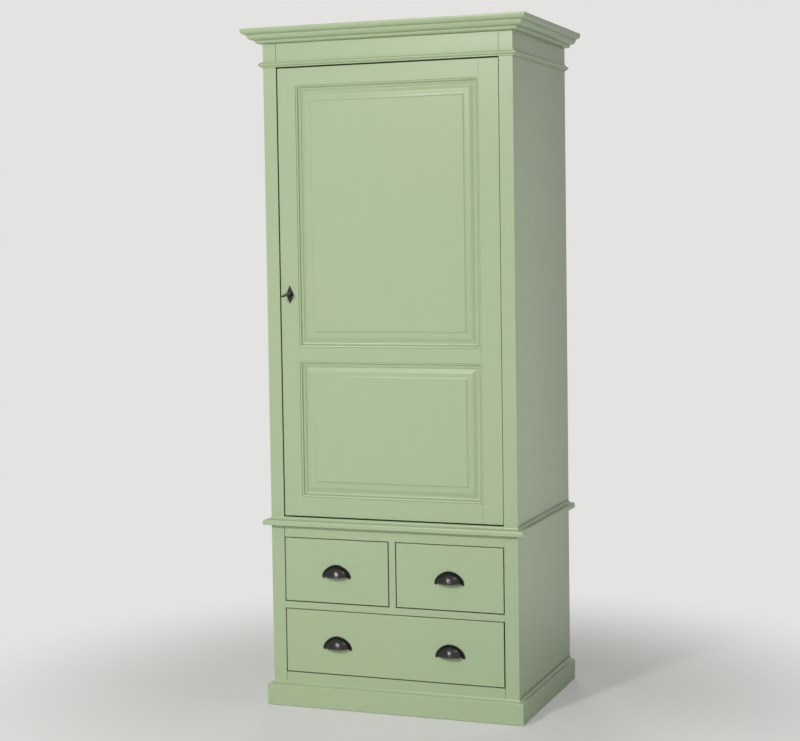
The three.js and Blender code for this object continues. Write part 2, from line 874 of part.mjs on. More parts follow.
// A drawer has a solid front, a box of two sides and a back, and a bottom in grooves.
function drawer(name, left, right, openingUnder, openingTop, pullXs) {
  const under = openingUnder + runClearance;
  const endY = frameBackY + drawerLength;
  const innerLeft = left + drawerSideThickness;
  const innerRight = right - drawerSideThickness;
  const innerEndY = endY - drawerSideThickness;
  const bottomUnder = under + drawerBottomLift;
  const boxShape = outline([
    [left, frameBackY],
    [innerLeft, frameBackY],
    [innerLeft, innerEndY],
    [innerRight, innerEndY],
    [innerRight, frameBackY],
    [right, frameBackY],
    [right, endY],
    [left, endY],
  ]);
  const grooveReach = drawerGroove + fitGap;
  const slot = block(
    corner(innerLeft - grooveReach, frameBackY - fitGap, bottomUnder),
    corner(innerRight + grooveReach, innerEndY + grooveReach, bottomUnder + drawerBottomThickness),
  );
  const box = solid(prism(boxShape, 'z', under, under + drawerSideHeight)).subtract(solid(slot));
  const group = new THREE.Group();
  group.add(
    board(
      `${name}_front`,
      paint,
      corner(left, frontY, openingUnder + reveal),
      corner(right, frameBackY, openingTop - reveal),
    ),
    piece(`${name}_box`, bareWood, geometryOf(box)),
    board(
      `${name}_bottom`,
      thinBoard,
      corner(innerLeft - drawerGroove, frameBackY, bottomUnder),
      corner(innerRight + drawerGroove, innerEndY + drawerGroove, bottomUnder + drawerBottomThickness),
    ),
  );
  for (const [pullName, x] of pullXs) {
    group.add(cupPull(pullName, x, (openingUnder + openingTop) / 2));
  }
  return group;
}

const bayX = dividerThickness / 2 + reveal;
const pullX = (bayX + frontX) / 2;
const lowerPulls = [['cup_pull_lower_left', -pullX], ['cup_pull_lower_right', pullX]];

const chifforobe = new THREE.Group();
chifforobe.add(
  carcase,
  mouldings,
  door,
  drawer('drawer_upper_left', -frontX, -bayX, dividerTop, waistRailUnder, [['cup_pull_upper_left', -pullX]]),
  drawer('drawer_upper_right', bayX, frontX, dividerTop, waistRailUnder, [['cup_pull_upper_right', pullX]]),
  drawer('drawer_lower', -frontX, frontX, bottomRailHeight, dividerUnder, lowerPulls),
);

export default chifforobe;
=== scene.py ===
# Painted chifforobe: a tall panelled door over two small drawers and one wide drawer.
# Metres. X runs from left to right, Y from front to back and Z up.

import json
import math

import bmesh
import bpy
import numpy as np
from mathutils import Matrix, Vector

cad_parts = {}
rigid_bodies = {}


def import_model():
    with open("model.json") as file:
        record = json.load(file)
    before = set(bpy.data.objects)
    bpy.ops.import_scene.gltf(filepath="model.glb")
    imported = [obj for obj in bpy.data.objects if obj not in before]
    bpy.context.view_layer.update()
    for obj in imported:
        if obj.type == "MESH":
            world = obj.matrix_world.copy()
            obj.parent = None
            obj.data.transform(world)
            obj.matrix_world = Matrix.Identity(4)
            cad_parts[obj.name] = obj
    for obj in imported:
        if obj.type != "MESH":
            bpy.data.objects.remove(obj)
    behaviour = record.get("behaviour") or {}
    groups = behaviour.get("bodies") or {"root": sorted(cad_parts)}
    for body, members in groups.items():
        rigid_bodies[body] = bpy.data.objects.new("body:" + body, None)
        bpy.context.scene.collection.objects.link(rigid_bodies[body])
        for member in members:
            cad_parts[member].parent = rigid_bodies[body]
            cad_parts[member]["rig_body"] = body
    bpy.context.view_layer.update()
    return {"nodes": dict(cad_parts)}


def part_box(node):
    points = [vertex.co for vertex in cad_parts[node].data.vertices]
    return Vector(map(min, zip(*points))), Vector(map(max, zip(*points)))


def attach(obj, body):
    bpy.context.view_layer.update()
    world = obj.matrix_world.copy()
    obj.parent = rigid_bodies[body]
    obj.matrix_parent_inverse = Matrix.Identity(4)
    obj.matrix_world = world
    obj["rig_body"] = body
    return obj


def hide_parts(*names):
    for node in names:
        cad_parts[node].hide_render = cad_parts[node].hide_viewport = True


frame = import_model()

mm = 0.001
print("frame loaded with", len(frame["nodes"]), "nodes")


# Places that the pieces share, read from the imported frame
def boxOf(node):
    low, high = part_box(node)
    return np.array(low), np.array(high)


stileLow, stileHigh = boxOf("face_stile_left")
frontY, frameBackY = stileLow[1], stileHigh[1]
sideX, openingX = -stileLow[0], -stileHigh[0]
innerX = -boxOf("drawer_guide_left")[0][0]
backY = boxOf("back_panel")[1][1]
backPanelY = boxOf("back_panel")[0][1]
panelX = boxOf("door_stile_hinge")[0][0]
lockX, _, lockZ = (boxOf("escutcheon")[0] + boxOf("escutcheon")[1]) / 2


def addObject(name, data):
    obj = bpy.data.objects.new(name, data)
    bpy.context.scene.collection.objects.link(obj)
    return obj


# Places an object with its own x, y and z axes along three directions.
def placeBy(obj, place, right, top, back):
    matrix = np.eye(4)
    matrix[:3] = np.column_stack([right, top, back, place])
    obj.matrix_world = Matrix(matrix.tolist())


# Camera
camera = {
    "place": (1.8133, -4.9696, 1.3920),
    "yaw": -20.644,          # degrees from the front, towards the left
    "pitch": -3.315,         # degrees from level, downwards
    "roll": -0.8436,
    "lens": 78.922,
    "sensorWidth": 36,
    "drop": -0.04,           # how far the frame is shifted down, as a share of its width
    "near": 0.05,
    "far": 100,
}


def makeCamera():
    yaw, pitch, roll = (math.radians(camera[turn]) for turn in ("yaw", "pitch", "roll"))
    flat = np.array([math.sin(yaw), math.cos(yaw), 0])
    level = np.array([math.cos(yaw), -math.sin(yaw), 0])
    upright = np.array([0, 0, 1])
    ahead = math.cos(pitch) * flat + math.sin(pitch) * upright
    up = math.cos(pitch) * upright - math.sin(pitch) * flat
    right = math.cos(roll) * level + math.sin(roll) * up
    top = -math.sin(roll) * level + math.cos(roll) * up
    data = bpy.data.cameras.new("photographCamera")
    data.lens = camera["lens"]
    data.sensor_width = camera["sensorWidth"]
    data.shift_y = camera["drop"]
    data.clip_start, data.clip_end = camera["near"], camera["far"]
    obj = addObject("photographCamera", data)
    placeBy(obj, camera["place"], right, top, -ahead)
    bpy.context.scene.camera = obj


makeCamera()
print("camera set")


# Adds a shader node. Its sockets are given by name or number, each with a value or with the socket
# that feeds it. Its settings are given by name.
def addNode(tree, kind, sockets, **settings):
    node = tree.nodes.new("ShaderNode" + kind)
    for name, value in settings.items():
        setattr(node, name, value)
    for socket, value in sockets.items():
        if isinstance(value, bpy.types.NodeSocket):
            tree.links.new(value, node.inputs[socket])
        else:
            node.inputs[socket].default_value = value
    return node


def compute(tree, operation, *values):
    return addNode(tree, "Math", dict(enumerate(values)), operation=operation).outputs[0]


def objectPlace(tree):
    return addNode(tree, "TexCoord", {}).outputs["Object"]


def splitPlace(tree):
    return addNode(tree, "SeparateXYZ", {0: objectPlace(tree)}).outputs


# The place on the object, divided by a length along one axis and by a width across it. A size that
# is one number counts in all directions.
def scaledPlace(tree, axis, size, shift=(0, 0, 0)):
    length, width = size if isinstance(size, tuple) else (size, size)
    scales = [1 / width] * 3
    scales[axis] = 1 / length
    sockets = {"Vector": objectPlace(tree), "Scale": scales, "Location": shift}
    return addNode(tree, "Mapping", sockets).outputs["Vector"]


def noise(tree, axis, size, detail=3, roughness=0.5, shift=(0, 0, 0), distortion=0):
    return addNode(tree, "TexNoise", {
        "Vector": scaledPlace(tree, axis, size, shift), "Scale": 1,
        "Detail": detail, "Roughness": roughness, "Distortion": distortion,
    }).outputs["Fac"]


def spread(tree, value, low, high, fromLow=0.3, fromHigh=0.7, **settings):
    sockets = {"Value": value, "From Min": fromLow, "From Max": fromHigh, "To Min": low, "To Max": high}
    return addNode(tree, "MapRange", sockets, **settings).outputs["Result"]


def blendColours(tree, share, first, second):
    return addNode(tree, "Mix", {0: share, 6: first, 7: second}, data_type="RGBA").outputs[2]


def bump(tree, height, depth, below=None):
    sockets = {"Height": height, "Distance": depth, "Strength": 1}
    if below is not None:
        sockets["Normal"] = below
    return addNode(tree, "Bump", sockets).outputs["Normal"]


# A colour is written as 0 to 255, the way a picture shows it.
def colour(red, green, blue):
    share = np.array([red, green, blue]) / 255
    linear = np.where(share <= 0.04045, share / 12.92, ((share + 0.055) / 1.055) ** 2.4)
    return (*linear.tolist(), 1.0)


def newMaterial(name):
    material = bpy.data.materials.new(name)
    material.use_nodes = True
    material.node_tree.nodes.clear()
    return material, material.node_tree


def addShader(tree, base, roughness, normal, **others):
    sockets = {"Base Color": base, "Roughness": roughness, "Normal": normal, **others}
    shader = addNode(tree, "BsdfPrincipled", sockets)
    addNode(tree, "OutputMaterial", {"Surface": shader.outputs[0]})


# Satin furniture paint, laid on with long strokes along each board. Sizes are a length along the
# board and a width across it.
paint = {
    "main": colour(171, 191, 153),
    "warm": colour(174, 191, 150),
    "pale": colour(178, 196, 162),
    "cloud": {"size": 1 / 1.7, "detail": 2, "shift": (0.3, 2.2, 5.1)},
    "strokes": {"size": (0.16, 0.0035), "roughness": 0.55},
    "strokeShare": 0.3,
    "strokeDepth": 0.035 * mm,
    "grain": {
        "size": (0.5, 0.012), "detail": 4, "roughness": 0.6, "shift": (3.1, 1.7, 0.4), "distortion": 0.6,
    },
    "grainShare": 0.16,
    "grainDepth": 0.07 * mm,
    "grit": {"size": 0.0011, "detail": 2},
    "gritDepth": 0.012 * mm,
    "satin": (0.27, 0.37),
    "refraction": 1.48,
    "gap": colour(58, 74, 44),         # painted shade on the edges inside the gaps of the front, and in the corners over the side mouldings
    "gapShare": 0.85,
    "gapSetsIn": (2.5 * mm, 7 * mm),   # behind the front
    "gapFades": (12 * mm, 15 * mm),
    "gapSides": (4 * mm, 8 * mm),      # beyond the sides of the opening
    "ledgeShare": 0.62,
    "ledgeFades": (2.2 * mm, 6 * mm),  # from the corner where a side meets the moulding along it
}


# The share of painted shade by depth behind the front, where the gaps are in shade: it sets in over the
# first millimetres and is gone again where only an open door or drawer lets light in.
def gapShade(tree):
    x, y, _ = splitPlace(tree)
    share = spread(tree, y, 0, paint["gapShare"], *(frontY + depth for depth in paint["gapSetsIn"]))
    fade = spread(tree, y, 1, 0, *(frontY + depth for depth in paint["gapFades"]))
    across = compute(tree, "ABSOLUTE", x)
    inside = spread(tree, across, 1, 0, *(openingX + reach for reach in paint["gapSides"]))
    return compute(tree, "MULTIPLY", compute(tree, "MULTIPLY", share, fade), inside)


# The share of painted shade where a side meets the top of a moulding, by the distance from that corner
def ledgeShade(tree):
    x, _, z = splitPlace(tree)
    flat = addNode(tree, "CombineXYZ", {"X": compute(tree, "ABSOLUTE", x), "Z": z}).outputs[0]
    shares = []
    for node in ("waist_moulding_right", "plinth_right"):
        corner = (sideX, 0, boxOf(node)[1][2])
        distance = addNode(tree, "VectorMath", {0: flat, 1: corner}, operation="DISTANCE").outputs["Value"]
        shares.append(spread(tree, distance, paint["ledgeShare"], 0, *paint["ledgeFades"]))
    return compute(tree, "MAXIMUM", *shares)


def paintMaterial(name, axis, paintedShade=None):
    material, tree = newMaterial(name)
    strokes, grain, grit, cloud = (
        noise(tree, axis, **paint[pattern]) for pattern in ("strokes", "grain", "grit", "cloud")
    )
    body = blendColours(tree, spread(tree, cloud, 0, 1), paint["main"], paint["warm"])
    body = blendColours(tree, spread(tree, strokes, 0, paint["strokeShare"]), body, paint["pale"])
    body = blendColours(tree, spread(tree, grain, 0, paint["grainShare"]), body, paint["pale"])
    # Painted shade, in the gaps of the front or in the corners over the side mouldings
    if paintedShade:
        body = blendColours(tree, paintedShade(tree), body, paint["gap"])
    normal = bump(tree, grain, paint["grainDepth"])
    normal = bump(tree, strokes, paint["strokeDepth"], normal)
    normal = bump(tree, grit, paint["gritDepth"], normal)
    addShader(tree, body, spread(tree, strokes, *paint["satin"]), normal, IOR=paint["refraction"])
    return material


paintAcross = paintMaterial("paintAcross", 0)
paintUpright = paintMaterial("paintUpright", 2)
# The front's boards carry painted shade in their gaps, and the sides carry painted shade over their
# mouldings
frontAcross = paintMaterial("frontAcross", 0, gapShade)
frontUpright = paintMaterial("frontUpright", 2, gapShade)
sideDeep = paintMaterial("sideDeep", 1, ledgeShade)
sideUpright = paintMaterial("sideUpright", 2, ledgeShade)


# Planed pine: pale early wood, darker growth lines that wander, and a few knots
pine = {
    "early": colour(229, 206, 163),
    "late": colour(204, 168, 118),
    "knot": colour(134, 90, 54),
    "ringSize": (0.75, 0.011),
    "ringDetail": 2,
    "ringRange": (0.38, 0.66),
    "wander": {"size": (0.9, 0.07), "detail": 2},
    "wanderReach": 4.5,      # in widths of a ring
    "fibre": {"size": (0.09, 0.0012), "roughness": 0.6},
    "fibreShare": 0.35,
    "fibreRange": (0.42, 0.7),
    "fibreDepth": 0.05 * mm,
    "knotSpacing": (0.26, 0.143),
    "knotRange": (0.03, 0.075),
    "satin": (0.5, 0.68),
}


def pineMaterial(name, axis):
    material, tree = newMaterial(name)
    wander = spread(tree, noise(tree, axis, **pine["wander"]), 0, pine["wanderReach"])
    shift = addNode(tree, "CombineXYZ", {socket: wander for socket in range(3) if socket != axis})
    place = scaledPlace(tree, axis, pine["ringSize"])
    bent = addNode(tree, "VectorMath", {0: place, 1: shift.outputs[0]}, operation="ADD").outputs[0]
    rings = addNode(tree, "TexNoise", {"Vector": bent, "Scale": 1, "Detail": pine["ringDetail"]})
    growth = spread(tree, rings.outputs["Fac"], 0, 1, *pine["ringRange"])
    fibre = noise(tree, axis, **pine["fibre"])
    fibreShare = spread(tree, fibre, 0, pine["fibreShare"], *pine["fibreRange"])
    place = scaledPlace(tree, axis, pine["knotSpacing"])
    knots = addNode(tree, "TexVoronoi", {"Vector": place, "Scale": 1}).outputs["Distance"]
    knotShare = spread(tree, knots, 1, 0, *pine["knotRange"])
    wood = blendColours(tree, growth, pine["early"], pine["late"])
    wood = blendColours(tree, fibreShare, wood, pine["late"])
    wood = blendColours(tree, knotShare, wood, pine["knot"])
    addShader(tree, wood, spread(tree, fibre, *pine["satin"]), bump(tree, fibre, pine["fibreDepth"]))
    return material


pineAcross = pineMaterial("pineAcross", 0)
pineDeep = pineMaterial("pineDeep", 1)


# Thin birch board: fine short pores over broad, faint figure
thinBoard = {
    "pale": colour(214, 189, 150),
    "dark": colour(188, 158, 115),
    "figure": {"size": (0.7, 0.09), "roughness": 0.55, "shift": (4.4, 0.9, 1.3), "distortion": 1.2},
    "figureShare": 0.8,
    "pores": {"size": (0.03, 0.0008), "roughness": 0.6},
    "poreShare": 0.5,
    "poreRange": (0.5, 0.75),
    "poreDepth": 0.03 * mm,
    "satin": (0.52, 0.7),
}


def thinBoardMaterial(name, axis):
    material, tree = newMaterial(name)
    figure = spread(tree, noise(tree, axis, **thinBoard["figure"]), 0, thinBoard["figureShare"])
    pores = noise(tree, axis, **thinBoard["pores"])
    poreShare = spread(tree, pores, 0, thinBoard["poreShare"], *thinBoard["poreRange"])
    wood = blendColours(tree, figure, thinBoard["pale"], thinBoard["dark"])
    wood = blendColours(tree, poreShare, wood, thinBoard["dark"])
    normal = bump(tree, pores, thinBoard["poreDepth"])
    addShader(tree, wood, spread(tree, pores, *thinBoard["satin"]), normal)
    return material


thinBoardUpright = thinBoardMaterial("thinBoardUpright", 2)
thinBoardDeep = thinBoardMaterial("thinBoardDeep", 1)


# Metals: a dark waxed iron for what shows on the front, and plain bright metals inside. The
# attribute called rub says where the dark finish is worn off.
iron = {
    "dark": colour(60, 60, 59),
    "worn": colour(110, 101, 88),
    "cloud": {"size": 0.005, "detail": 4, "roughness": 0.6},
    "cloudShare": 0.07,
    "pitDepth": 0.012 * mm,
    "sheen": (0.19, 0.28),
}
bright = {
    "lines": {"size": (0.03, 0.0005), "roughness": 0.6},
    "cloud": {"size": 1 / 60},
}


def ironMaterial(name):
    material, tree = newMaterial(name)
    cloud = noise(tree, 0, **iron["cloud"])
    rub = addNode(tree, "Attribute", {}, attribute_name="rub").outputs["Fac"]
    metal = blendColours(tree, spread(tree, cloud, 0, iron["cloudShare"]), iron["dark"], iron["worn"])
    metal = blendColours(tree, rub, metal, iron["worn"])
    normal = bump(tree, cloud, iron["pitDepth"])
    addShader(tree, metal, spread(tree, cloud, *iron["sheen"]), normal, Metallic=1)
    return material


def brightMetal(name, main, second, sheen, axis, depth):
    material, tree = newMaterial(name)
    lines, cloud = noise(tree, axis, **bright["lines"]), noise(tree, axis, **bright["cloud"])
    metal = blendColours(tree, spread(tree, cloud, 0, 1), colour(*main), colour(*second))
    addShader(tree, metal, spread(tree, lines, *sheen), bump(tree, lines, depth), Metallic=1)
    return material


darkIron = ironMaterial("darkIron")
steel = brightMetal("steel", (196, 198, 200), (178, 181, 184), (0.2, 0.34), 0, 0.006 * mm)
steelUpright = brightMetal("steelUpright", (190, 192, 194), (172, 175, 178), (0.24, 0.38), 2, 0.008 * mm)
brass = brightMetal("brass", (206, 170, 98), (190, 150, 80), (0.24, 0.38), 0, 0.006 * mm)
print("finishes made")


# Shapes. Each is a pair of points (n, 3) and faces (lists of point numbers).
# Rings of points become a closed skin: point j of a ring joins point j + 1 of that ring, and
# point j of the next ring. The first and the last ring are capped, or joined to each other.
def skin(rings, joinEnds=False):
    rings = np.asarray(rings, float)
    index = np.arange(rings.shape[0] * rings.shape[1]).reshape(rings.shape[:2])
    far = np.roll(index, -1, axis=0)
    near, far = (index, far) if joinEnds else (index[:-1], far[:-1])
    quads = np.stack([near, np.roll(near, -1, axis=1), np.roll(far, -1, axis=1), far], axis=-1)
    caps = [] if joinEnds else [index[0].tolist(), index[-1].tolist()]
    return rings.reshape(-1, 3), quads.reshape(-1, 4).tolist() + caps


# A flat section put into space. The coordinate that it lacks, along one axis, is the same all round.
def ringOf(section, axis, place):
    return np.insert(np.asarray(section, float), axis, place, axis=1)


def prism(section, axis, low, high):
    return skin([ringOf(section, axis, place) for place in (low, high)])


def boardShape(low, high):
    (x0, y0, z0), (x1, y1, z1) = low, high
    return prism([(x0, y0), (x1, y0), (x1, y1), (x0, y1)], 2, z0, z1)


def boardOf(node):
    return boardShape(*boxOf(node))


# A profile of (radius, height) turned about an axis: radius times cosine and sine of the angle.
def turned(profile, centre, axis, steps=32, joinEnds=False):
    profile = np.asarray(profile, float)
    angle = np.linspace(0, 2 * np.pi, steps, endpoint=False)
    radius, height = profile[:, :1], np.repeat(profile[:, 1:], steps, axis=1)
    flat = [radius * np.cos(angle), radius * np.sin(angle)]
    order = {0: (height, *flat), 1: (flat[1], height, flat[0]), 2: (*flat, height)}[axis]
    return skin(np.stack(order, axis=-1) + np.asarray(centre, float), joinEnds)


# An arc of an ellipse as a row of (across, up), with angles in degrees.
def arc(centre, radii, start, end, steps):
    angle = np.radians(np.linspace(start, end, steps + 1))
    return np.column_stack([centre[0] + radii[0] * np.cos(angle), centre[1] + radii[1] * np.sin(angle)])


# A low dome as a profile to turn, from its rim to nearly its top.
def domeProfile(radii, end=80, steps=5):
    return arc((0, 0), radii, 0, end, steps)


# Each shape is welded by itself, so that shapes which only touch stay closed bodies of their own.
def makePiece(name, shapes, materials, sharp=None):
    weldReach = 0.002 * mm
    materials = materials if isinstance(materials, list) else [materials]
    whole = bmesh.new()
    for number, (points, faces) in enumerate(shapes):
        part = bpy.data.meshes.new("part")
        part.from_pydata(points.tolist(), [], faces)
        part.polygons.foreach_set("material_index", [number % len(materials)] * len(faces))
        work = bmesh.new()
        work.from_mesh(part)
        bmesh.ops.remove_doubles(work, verts=work.verts, dist=weldReach)
        bmesh.ops.recalc_face_normals(work, faces=work.faces)
        work.to_mesh(part)
        work.free()
        whole.from_mesh(part)
        bpy.data.meshes.remove(part)
    mesh = bpy.data.meshes.new(name)
    whole.to_mesh(mesh)
    whole.free()
    mesh.shade_smooth()
    if sharp is not None:
        mesh.set_sharp_from_angle(angle=math.radians(sharp))
    for material in materials:
        mesh.materials.append(material)
    return addObject(name, mesh)


def pointsOf(mesh):
    points = np.empty(3 * len(mesh.vertices))
    mesh.vertices.foreach_get("co", points)
    return points.reshape(-1, 3)


# Rounds the edges that turn by more than an angle, and keeps the flats looking flat. Where a test
# is given, an edge is rounded only if both of its ends pass it.
def easeEdges(obj, ease, steps=3, angle=38, test=None):
    bevel = obj.modifiers.new("easedEdges", "BEVEL")
    bevel.width = ease
    bevel.segments = steps
    bevel.limit_method = "ANGLE"
    bevel.angle_limit = math.radians(angle)
    if test is not None:
        mesh = obj.data
        ends = np.empty(2 * len(mesh.edges), int)
        mesh.edges.foreach_get("vertices", ends)
        passed = test(pointsOf(mesh))[ends.reshape(-1, 2)].all(axis=1)
        weight = mesh.attributes.new("bevel_weight_edge", "FLOAT", "EDGE")
        weight.data.foreach_set("value", passed.astype(np.float32))
        bevel.limit_method = "WEIGHT"
    flat = obj.modifiers.new("flatFaces", "WEIGHTED_NORMAL")
    flat.keep_sharp = True


# Cuts a shape out of an object's mesh, and gives the object the mesh that comes out.
def cutOut(obj, shape, sharp=None):
    tool = makePiece("cuttingShape", [shape], paintUpright)
    cut = obj.modifiers.new("cutOut", "BOOLEAN")
    cut.operation = "DIFFERENCE"
    cut.object = tool
    mesh = bpy.data.meshes.new_from_object(obj.evaluated_get(bpy.context.evaluated_depsgraph_get()))
    obj.modifiers.clear()
    obj.data = mesh
    bpy.data.objects.remove(tool)
    if sharp is not None:
        mesh.set_sharp_from_angle(angle=math.radians(sharp))


# A node's name as the name of its piece: drawer_upper_left becomes drawerUpperLeft.
def pieceName(node):
    first, *others = node.split("_")
    return first + "".join(word.capitalize() for word in others)


# Makes the piece that stands for one CAD node. It rides on that node's body. A
# shape may be cut out of it before its edges are eased.
def standFor(node, slot, shapes, materials, name=None, sharp=None, cut=None, **easing):
    obj = makePiece(name or pieceName(node), shapes, materials, sharp)
    if cut:
        cutOut(obj, cut, sharp)
    if easing:
        easeEdges(obj, **easing)
    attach(obj, frame["nodes"][node]["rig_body"])
    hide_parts(node)
    return obj


# Makes a small piece that the CAD leaves out. It rides on the body of a node.
def rideWith(node, shapes, material, name, sharp):
    obj = makePiece(name, shapes, material, sharp)
    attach(obj, frame["nodes"][node]["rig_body"])


# Body: boards with eased edges. The faint lines where stiles meet rails come from those edges.
body = {
    "ease": 0.5 * mm,
    "insideEase": 0.8 * mm,
    "cracks": {              # where a rail has shrunk away from the left and the right stile
        "frieze_rail": (1.15 * mm, 0.75 * mm),
        "waist_rail": (1.5 * mm, 0.45 * mm),
        "bottom_rail": (0.85 * mm, 0.85 * mm),
    },
    "backSunk": 0.6 * mm,
    "mortiseDepth": 13 * mm,
    "mortisePlay": 1 * mm,
}


def mortiseShape():
    boltLow, boltHigh = boxOf("lock_bolt")
    play = body["mortisePlay"]
    low = (-openingX - body["mortiseDepth"], boltLow[1] - play, boltLow[2] - play)
    return boardShape(low, (-openingX + play, boltHigh[1] + play, boltHigh[2] + play))


def makeBody():
    for node, material, ease, cut in (
        ("face_stile_right", frontUpright, "ease", None),
        ("face_stile_left", frontUpright, "ease", mortiseShape()),
        ("frieze_rail", frontAcross, "ease", None),
        ("waist_rail", frontAcross, "ease", None),
        ("bottom_rail", frontAcross, "ease", None),
        ("top_board", paintAcross, "ease", None),
        ("wardrobe_floor", paintAcross, "ease", None),
        ("door_stop", paintUpright, "insideEase", None),
    ):
        low, high = boxOf(node)
        left, right = body["cracks"].get(node, (0, 0))
        board = boardShape(low + (left, 0, 0), high - (right, 0, 0))
        standFor(node, "painted_wood", [board], material, cut=cut, ease=body[ease])
    for node, material in (
        ("bottom_board", pineAcross),
        ("drawer_guide_left", pineDeep),
        ("drawer_guide_right", pineDeep),
    ):
        standFor(node, "bare_pine", [boardOf(node)], material, ease=body["insideEase"])
    low, high = boxOf("back_panel")
    board = boardShape(low, high - (0, body["backSunk"], 0))
    standFor("back_panel", "thin_board", [board], thinBoardUpright, ease=body["ease"])


# Sides with a rabbet for the back and a housing for the shelf. The ring of the section keeps its
# number of points, and the inner face steps in where the shelf enters.
def makeSides():
    shelfLow, shelfHigh = boxOf("hat_shelf")
    rabbetX = boxOf("back_panel")[1][0]
    housing = shelfHigh[0] - innerX
    for node, sign in (("side_panel_left", -1), ("side_panel_right", 1)):
        top = boxOf(node)[1][2]
        rings = []
        for z, depth in (
            (0, 0), (shelfLow[2], 0), (shelfLow[2], housing),
            (shelfHigh[2], housing), (shelfHigh[2], 0), (top, 0),
        ):
            section = np.array([
                (innerX, frameBackY), (sideX, frameBackY), (sideX, backY), (rabbetX, backY),
                (rabbetX, backPanelY), (innerX + depth, backPanelY),
                (innerX + depth, shelfLow[1]), (innerX, shelfLow[1]),
            ])
            rings.append(ringOf(section * (sign, 1), 2, z))
        standFor(node, "painted_wood", [skin(rings)], sideUpright, ease=body["ease"])
    standFor("hat_shelf", "painted_wood", [boardOf("hat_shelf")], paintAcross, ease=body["insideEase"])


# The divider reaches to the stiles in front, and the partition is notched under the waist rail.
def makeDividers():
    low, high = boxOf("drawer_divider")
    guideX = boxOf("drawer_guide_right")[0][0]
    section = [
        (-openingX, frontY), (openingX, frontY), (openingX, frameBackY), (guideX, frameBackY),
        (guideX, high[1]), (-guideX, high[1]), (-guideX, frameBackY), (-openingX, frameBackY),
    ]
    shape = prism(section, 2, low[2], high[2])
    standFor("drawer_divider", "painted_wood", [shape], frontAcross, ease=body["ease"])
    low, high = boxOf("drawer_partition")
    railUnder = boxOf("waist_rail")[0][2]
    section = [
        (low[1], low[2]), (high[1], low[2]), (high[1], high[2]),
        (frameBackY, high[2]), (frameBackY, railUnder), (low[1], railUnder),
    ]
    shape = prism(section, 0, low[0], high[0])
    standFor("drawer_partition", "painted_wood", [shape], frontUpright, ease=body["ease"])


makeBody()
makeSides()
makeDividers()
print("body made")


# Mouldings. A profile is a row of (out from the body, up) in millimetres. It is carried along a
# straight length, and at a mitred end each point runs on, or stops short, by its own distance out.
mouldings = {
    "arcSteps": 12,
    "ease": 0.35 * mm,
    "corniceTop": 42,
    "corniceSteps": [        # tread out, ovolo out, riser up, ovolo up
        (10.5, 7.0, 0.0, 7.0),
        (4.5, 14.0, 2.5, 14.0),
        (2.0, 12.0, 1.5, 12.0),
    ],
    "beadingOut": 5.0,
    "beadingTop": 17.5,
    "beadOut": 12,
    "beadFillet": 3.5,       # flat edge under and over the bead
    "waistNose": {"centre": (15, 7.2), "radii": (5, 7.68)},
    "waistHollow": (12.6, 14.88),  # where the hollow over the nose starts
    "waistTop": 24,
    "plinthFoot": [(0, 2), (14.5, 2), (15.5, 3), (15.5, 61.4), (14.6, 63.4)],
    "plinthCove": (13.9, 8.8),
    "plinthTop": 73,
}


def corniceProfile():
    rows, out, up = [(0, 0)], 0, 0
    for tread, wide, riser, tall in mouldings["corniceSteps"]:
        up += riser
        rows.append((out, up))
        out += tread
        rows += arc((out, up + tall), (wide, tall), -90, 0, mouldings["arcSteps"]).tolist()
        out, up = out + wide, up + tall
    return rows + [(out, mouldings["corniceTop"]), (0, mouldings["corniceTop"])]


def beadingProfile():
    out, top = mouldings["beadingOut"], mouldings["beadingTop"]
    radii = (mouldings["beadOut"] - out, top / 2 - mouldings["beadFillet"])
    bead = arc((out, top / 2), radii, -90, 90, 2 * mouldings["arcSteps"])
    return [(0, 0), (out, 0), *bead.tolist(), (out, top), (0, top)]


# The hollow over the nose runs from its start to the body as out = start (1 - t)^2 and
# up = start + (top - start) t^2, with t from 0 to 1.
def waistProfile():
    nose = arc(**mouldings["waistNose"], start=0, end=90, steps=mouldings["arcSteps"]).tolist()
    share = np.linspace(0, 1, mouldings["arcSteps"] + 1)
    out, up = mouldings["waistHollow"]
    hollow = np.column_stack([out * (1 - share) ** 2, up + (mouldings["waistTop"] - up) * share ** 2])
    return [(0, 0), (nose[0][0], 0), *nose, *hollow.tolist()]


def plinthProfile():
    out, top = mouldings["plinthCove"][0], mouldings["plinthTop"]
    cove = arc((out, top), mouldings["plinthCove"], 270, 180, mouldings["arcSteps"])
    return [*mouldings["plinthFoot"], *cove[:-1].tolist(), (0, top)]


def carryProfile(profile, start, end, startOut, endOut, under):
    profile = np.array(profile) * mm
    rings = []
    for place, out in ((start, startOut), (end, endOut)):
        flat = np.array(place) + profile[:, :1] * np.array(out)
        rings.append(np.column_stack([flat, under + profile[:, 1]]))
    return skin(rings)


def makeMouldings():
    left, right = (-sideX, frontY), (sideX, frontY)
    for moulding, profile in (
        ("cornice", corniceProfile()),
        ("beading", beadingProfile()),
        ("waist_moulding", waistProfile()),
        ("plinth", plinthProfile()),
    ):
        for side, start, end, startOut, endOut, material in (
            ("front", left, right, (-1, -1), (1, -1), paintAcross),
            ("left", (-sideX, backY), left, (-1, 0), (-1, -1), sideDeep),
            ("right", right, (sideX, backY), (1, -1), (1, 0), sideDeep),
        ):
            node = f"{moulding}_{side}"
            shape = carryProfile(profile, start, end, startOut, endOut, boxOf(node)[0][2])
            standFor(node, "painted_wood", [shape], material, sharp=30, ease=mouldings["ease"], steps=2)


makeMouldings()
print("mouldings made")


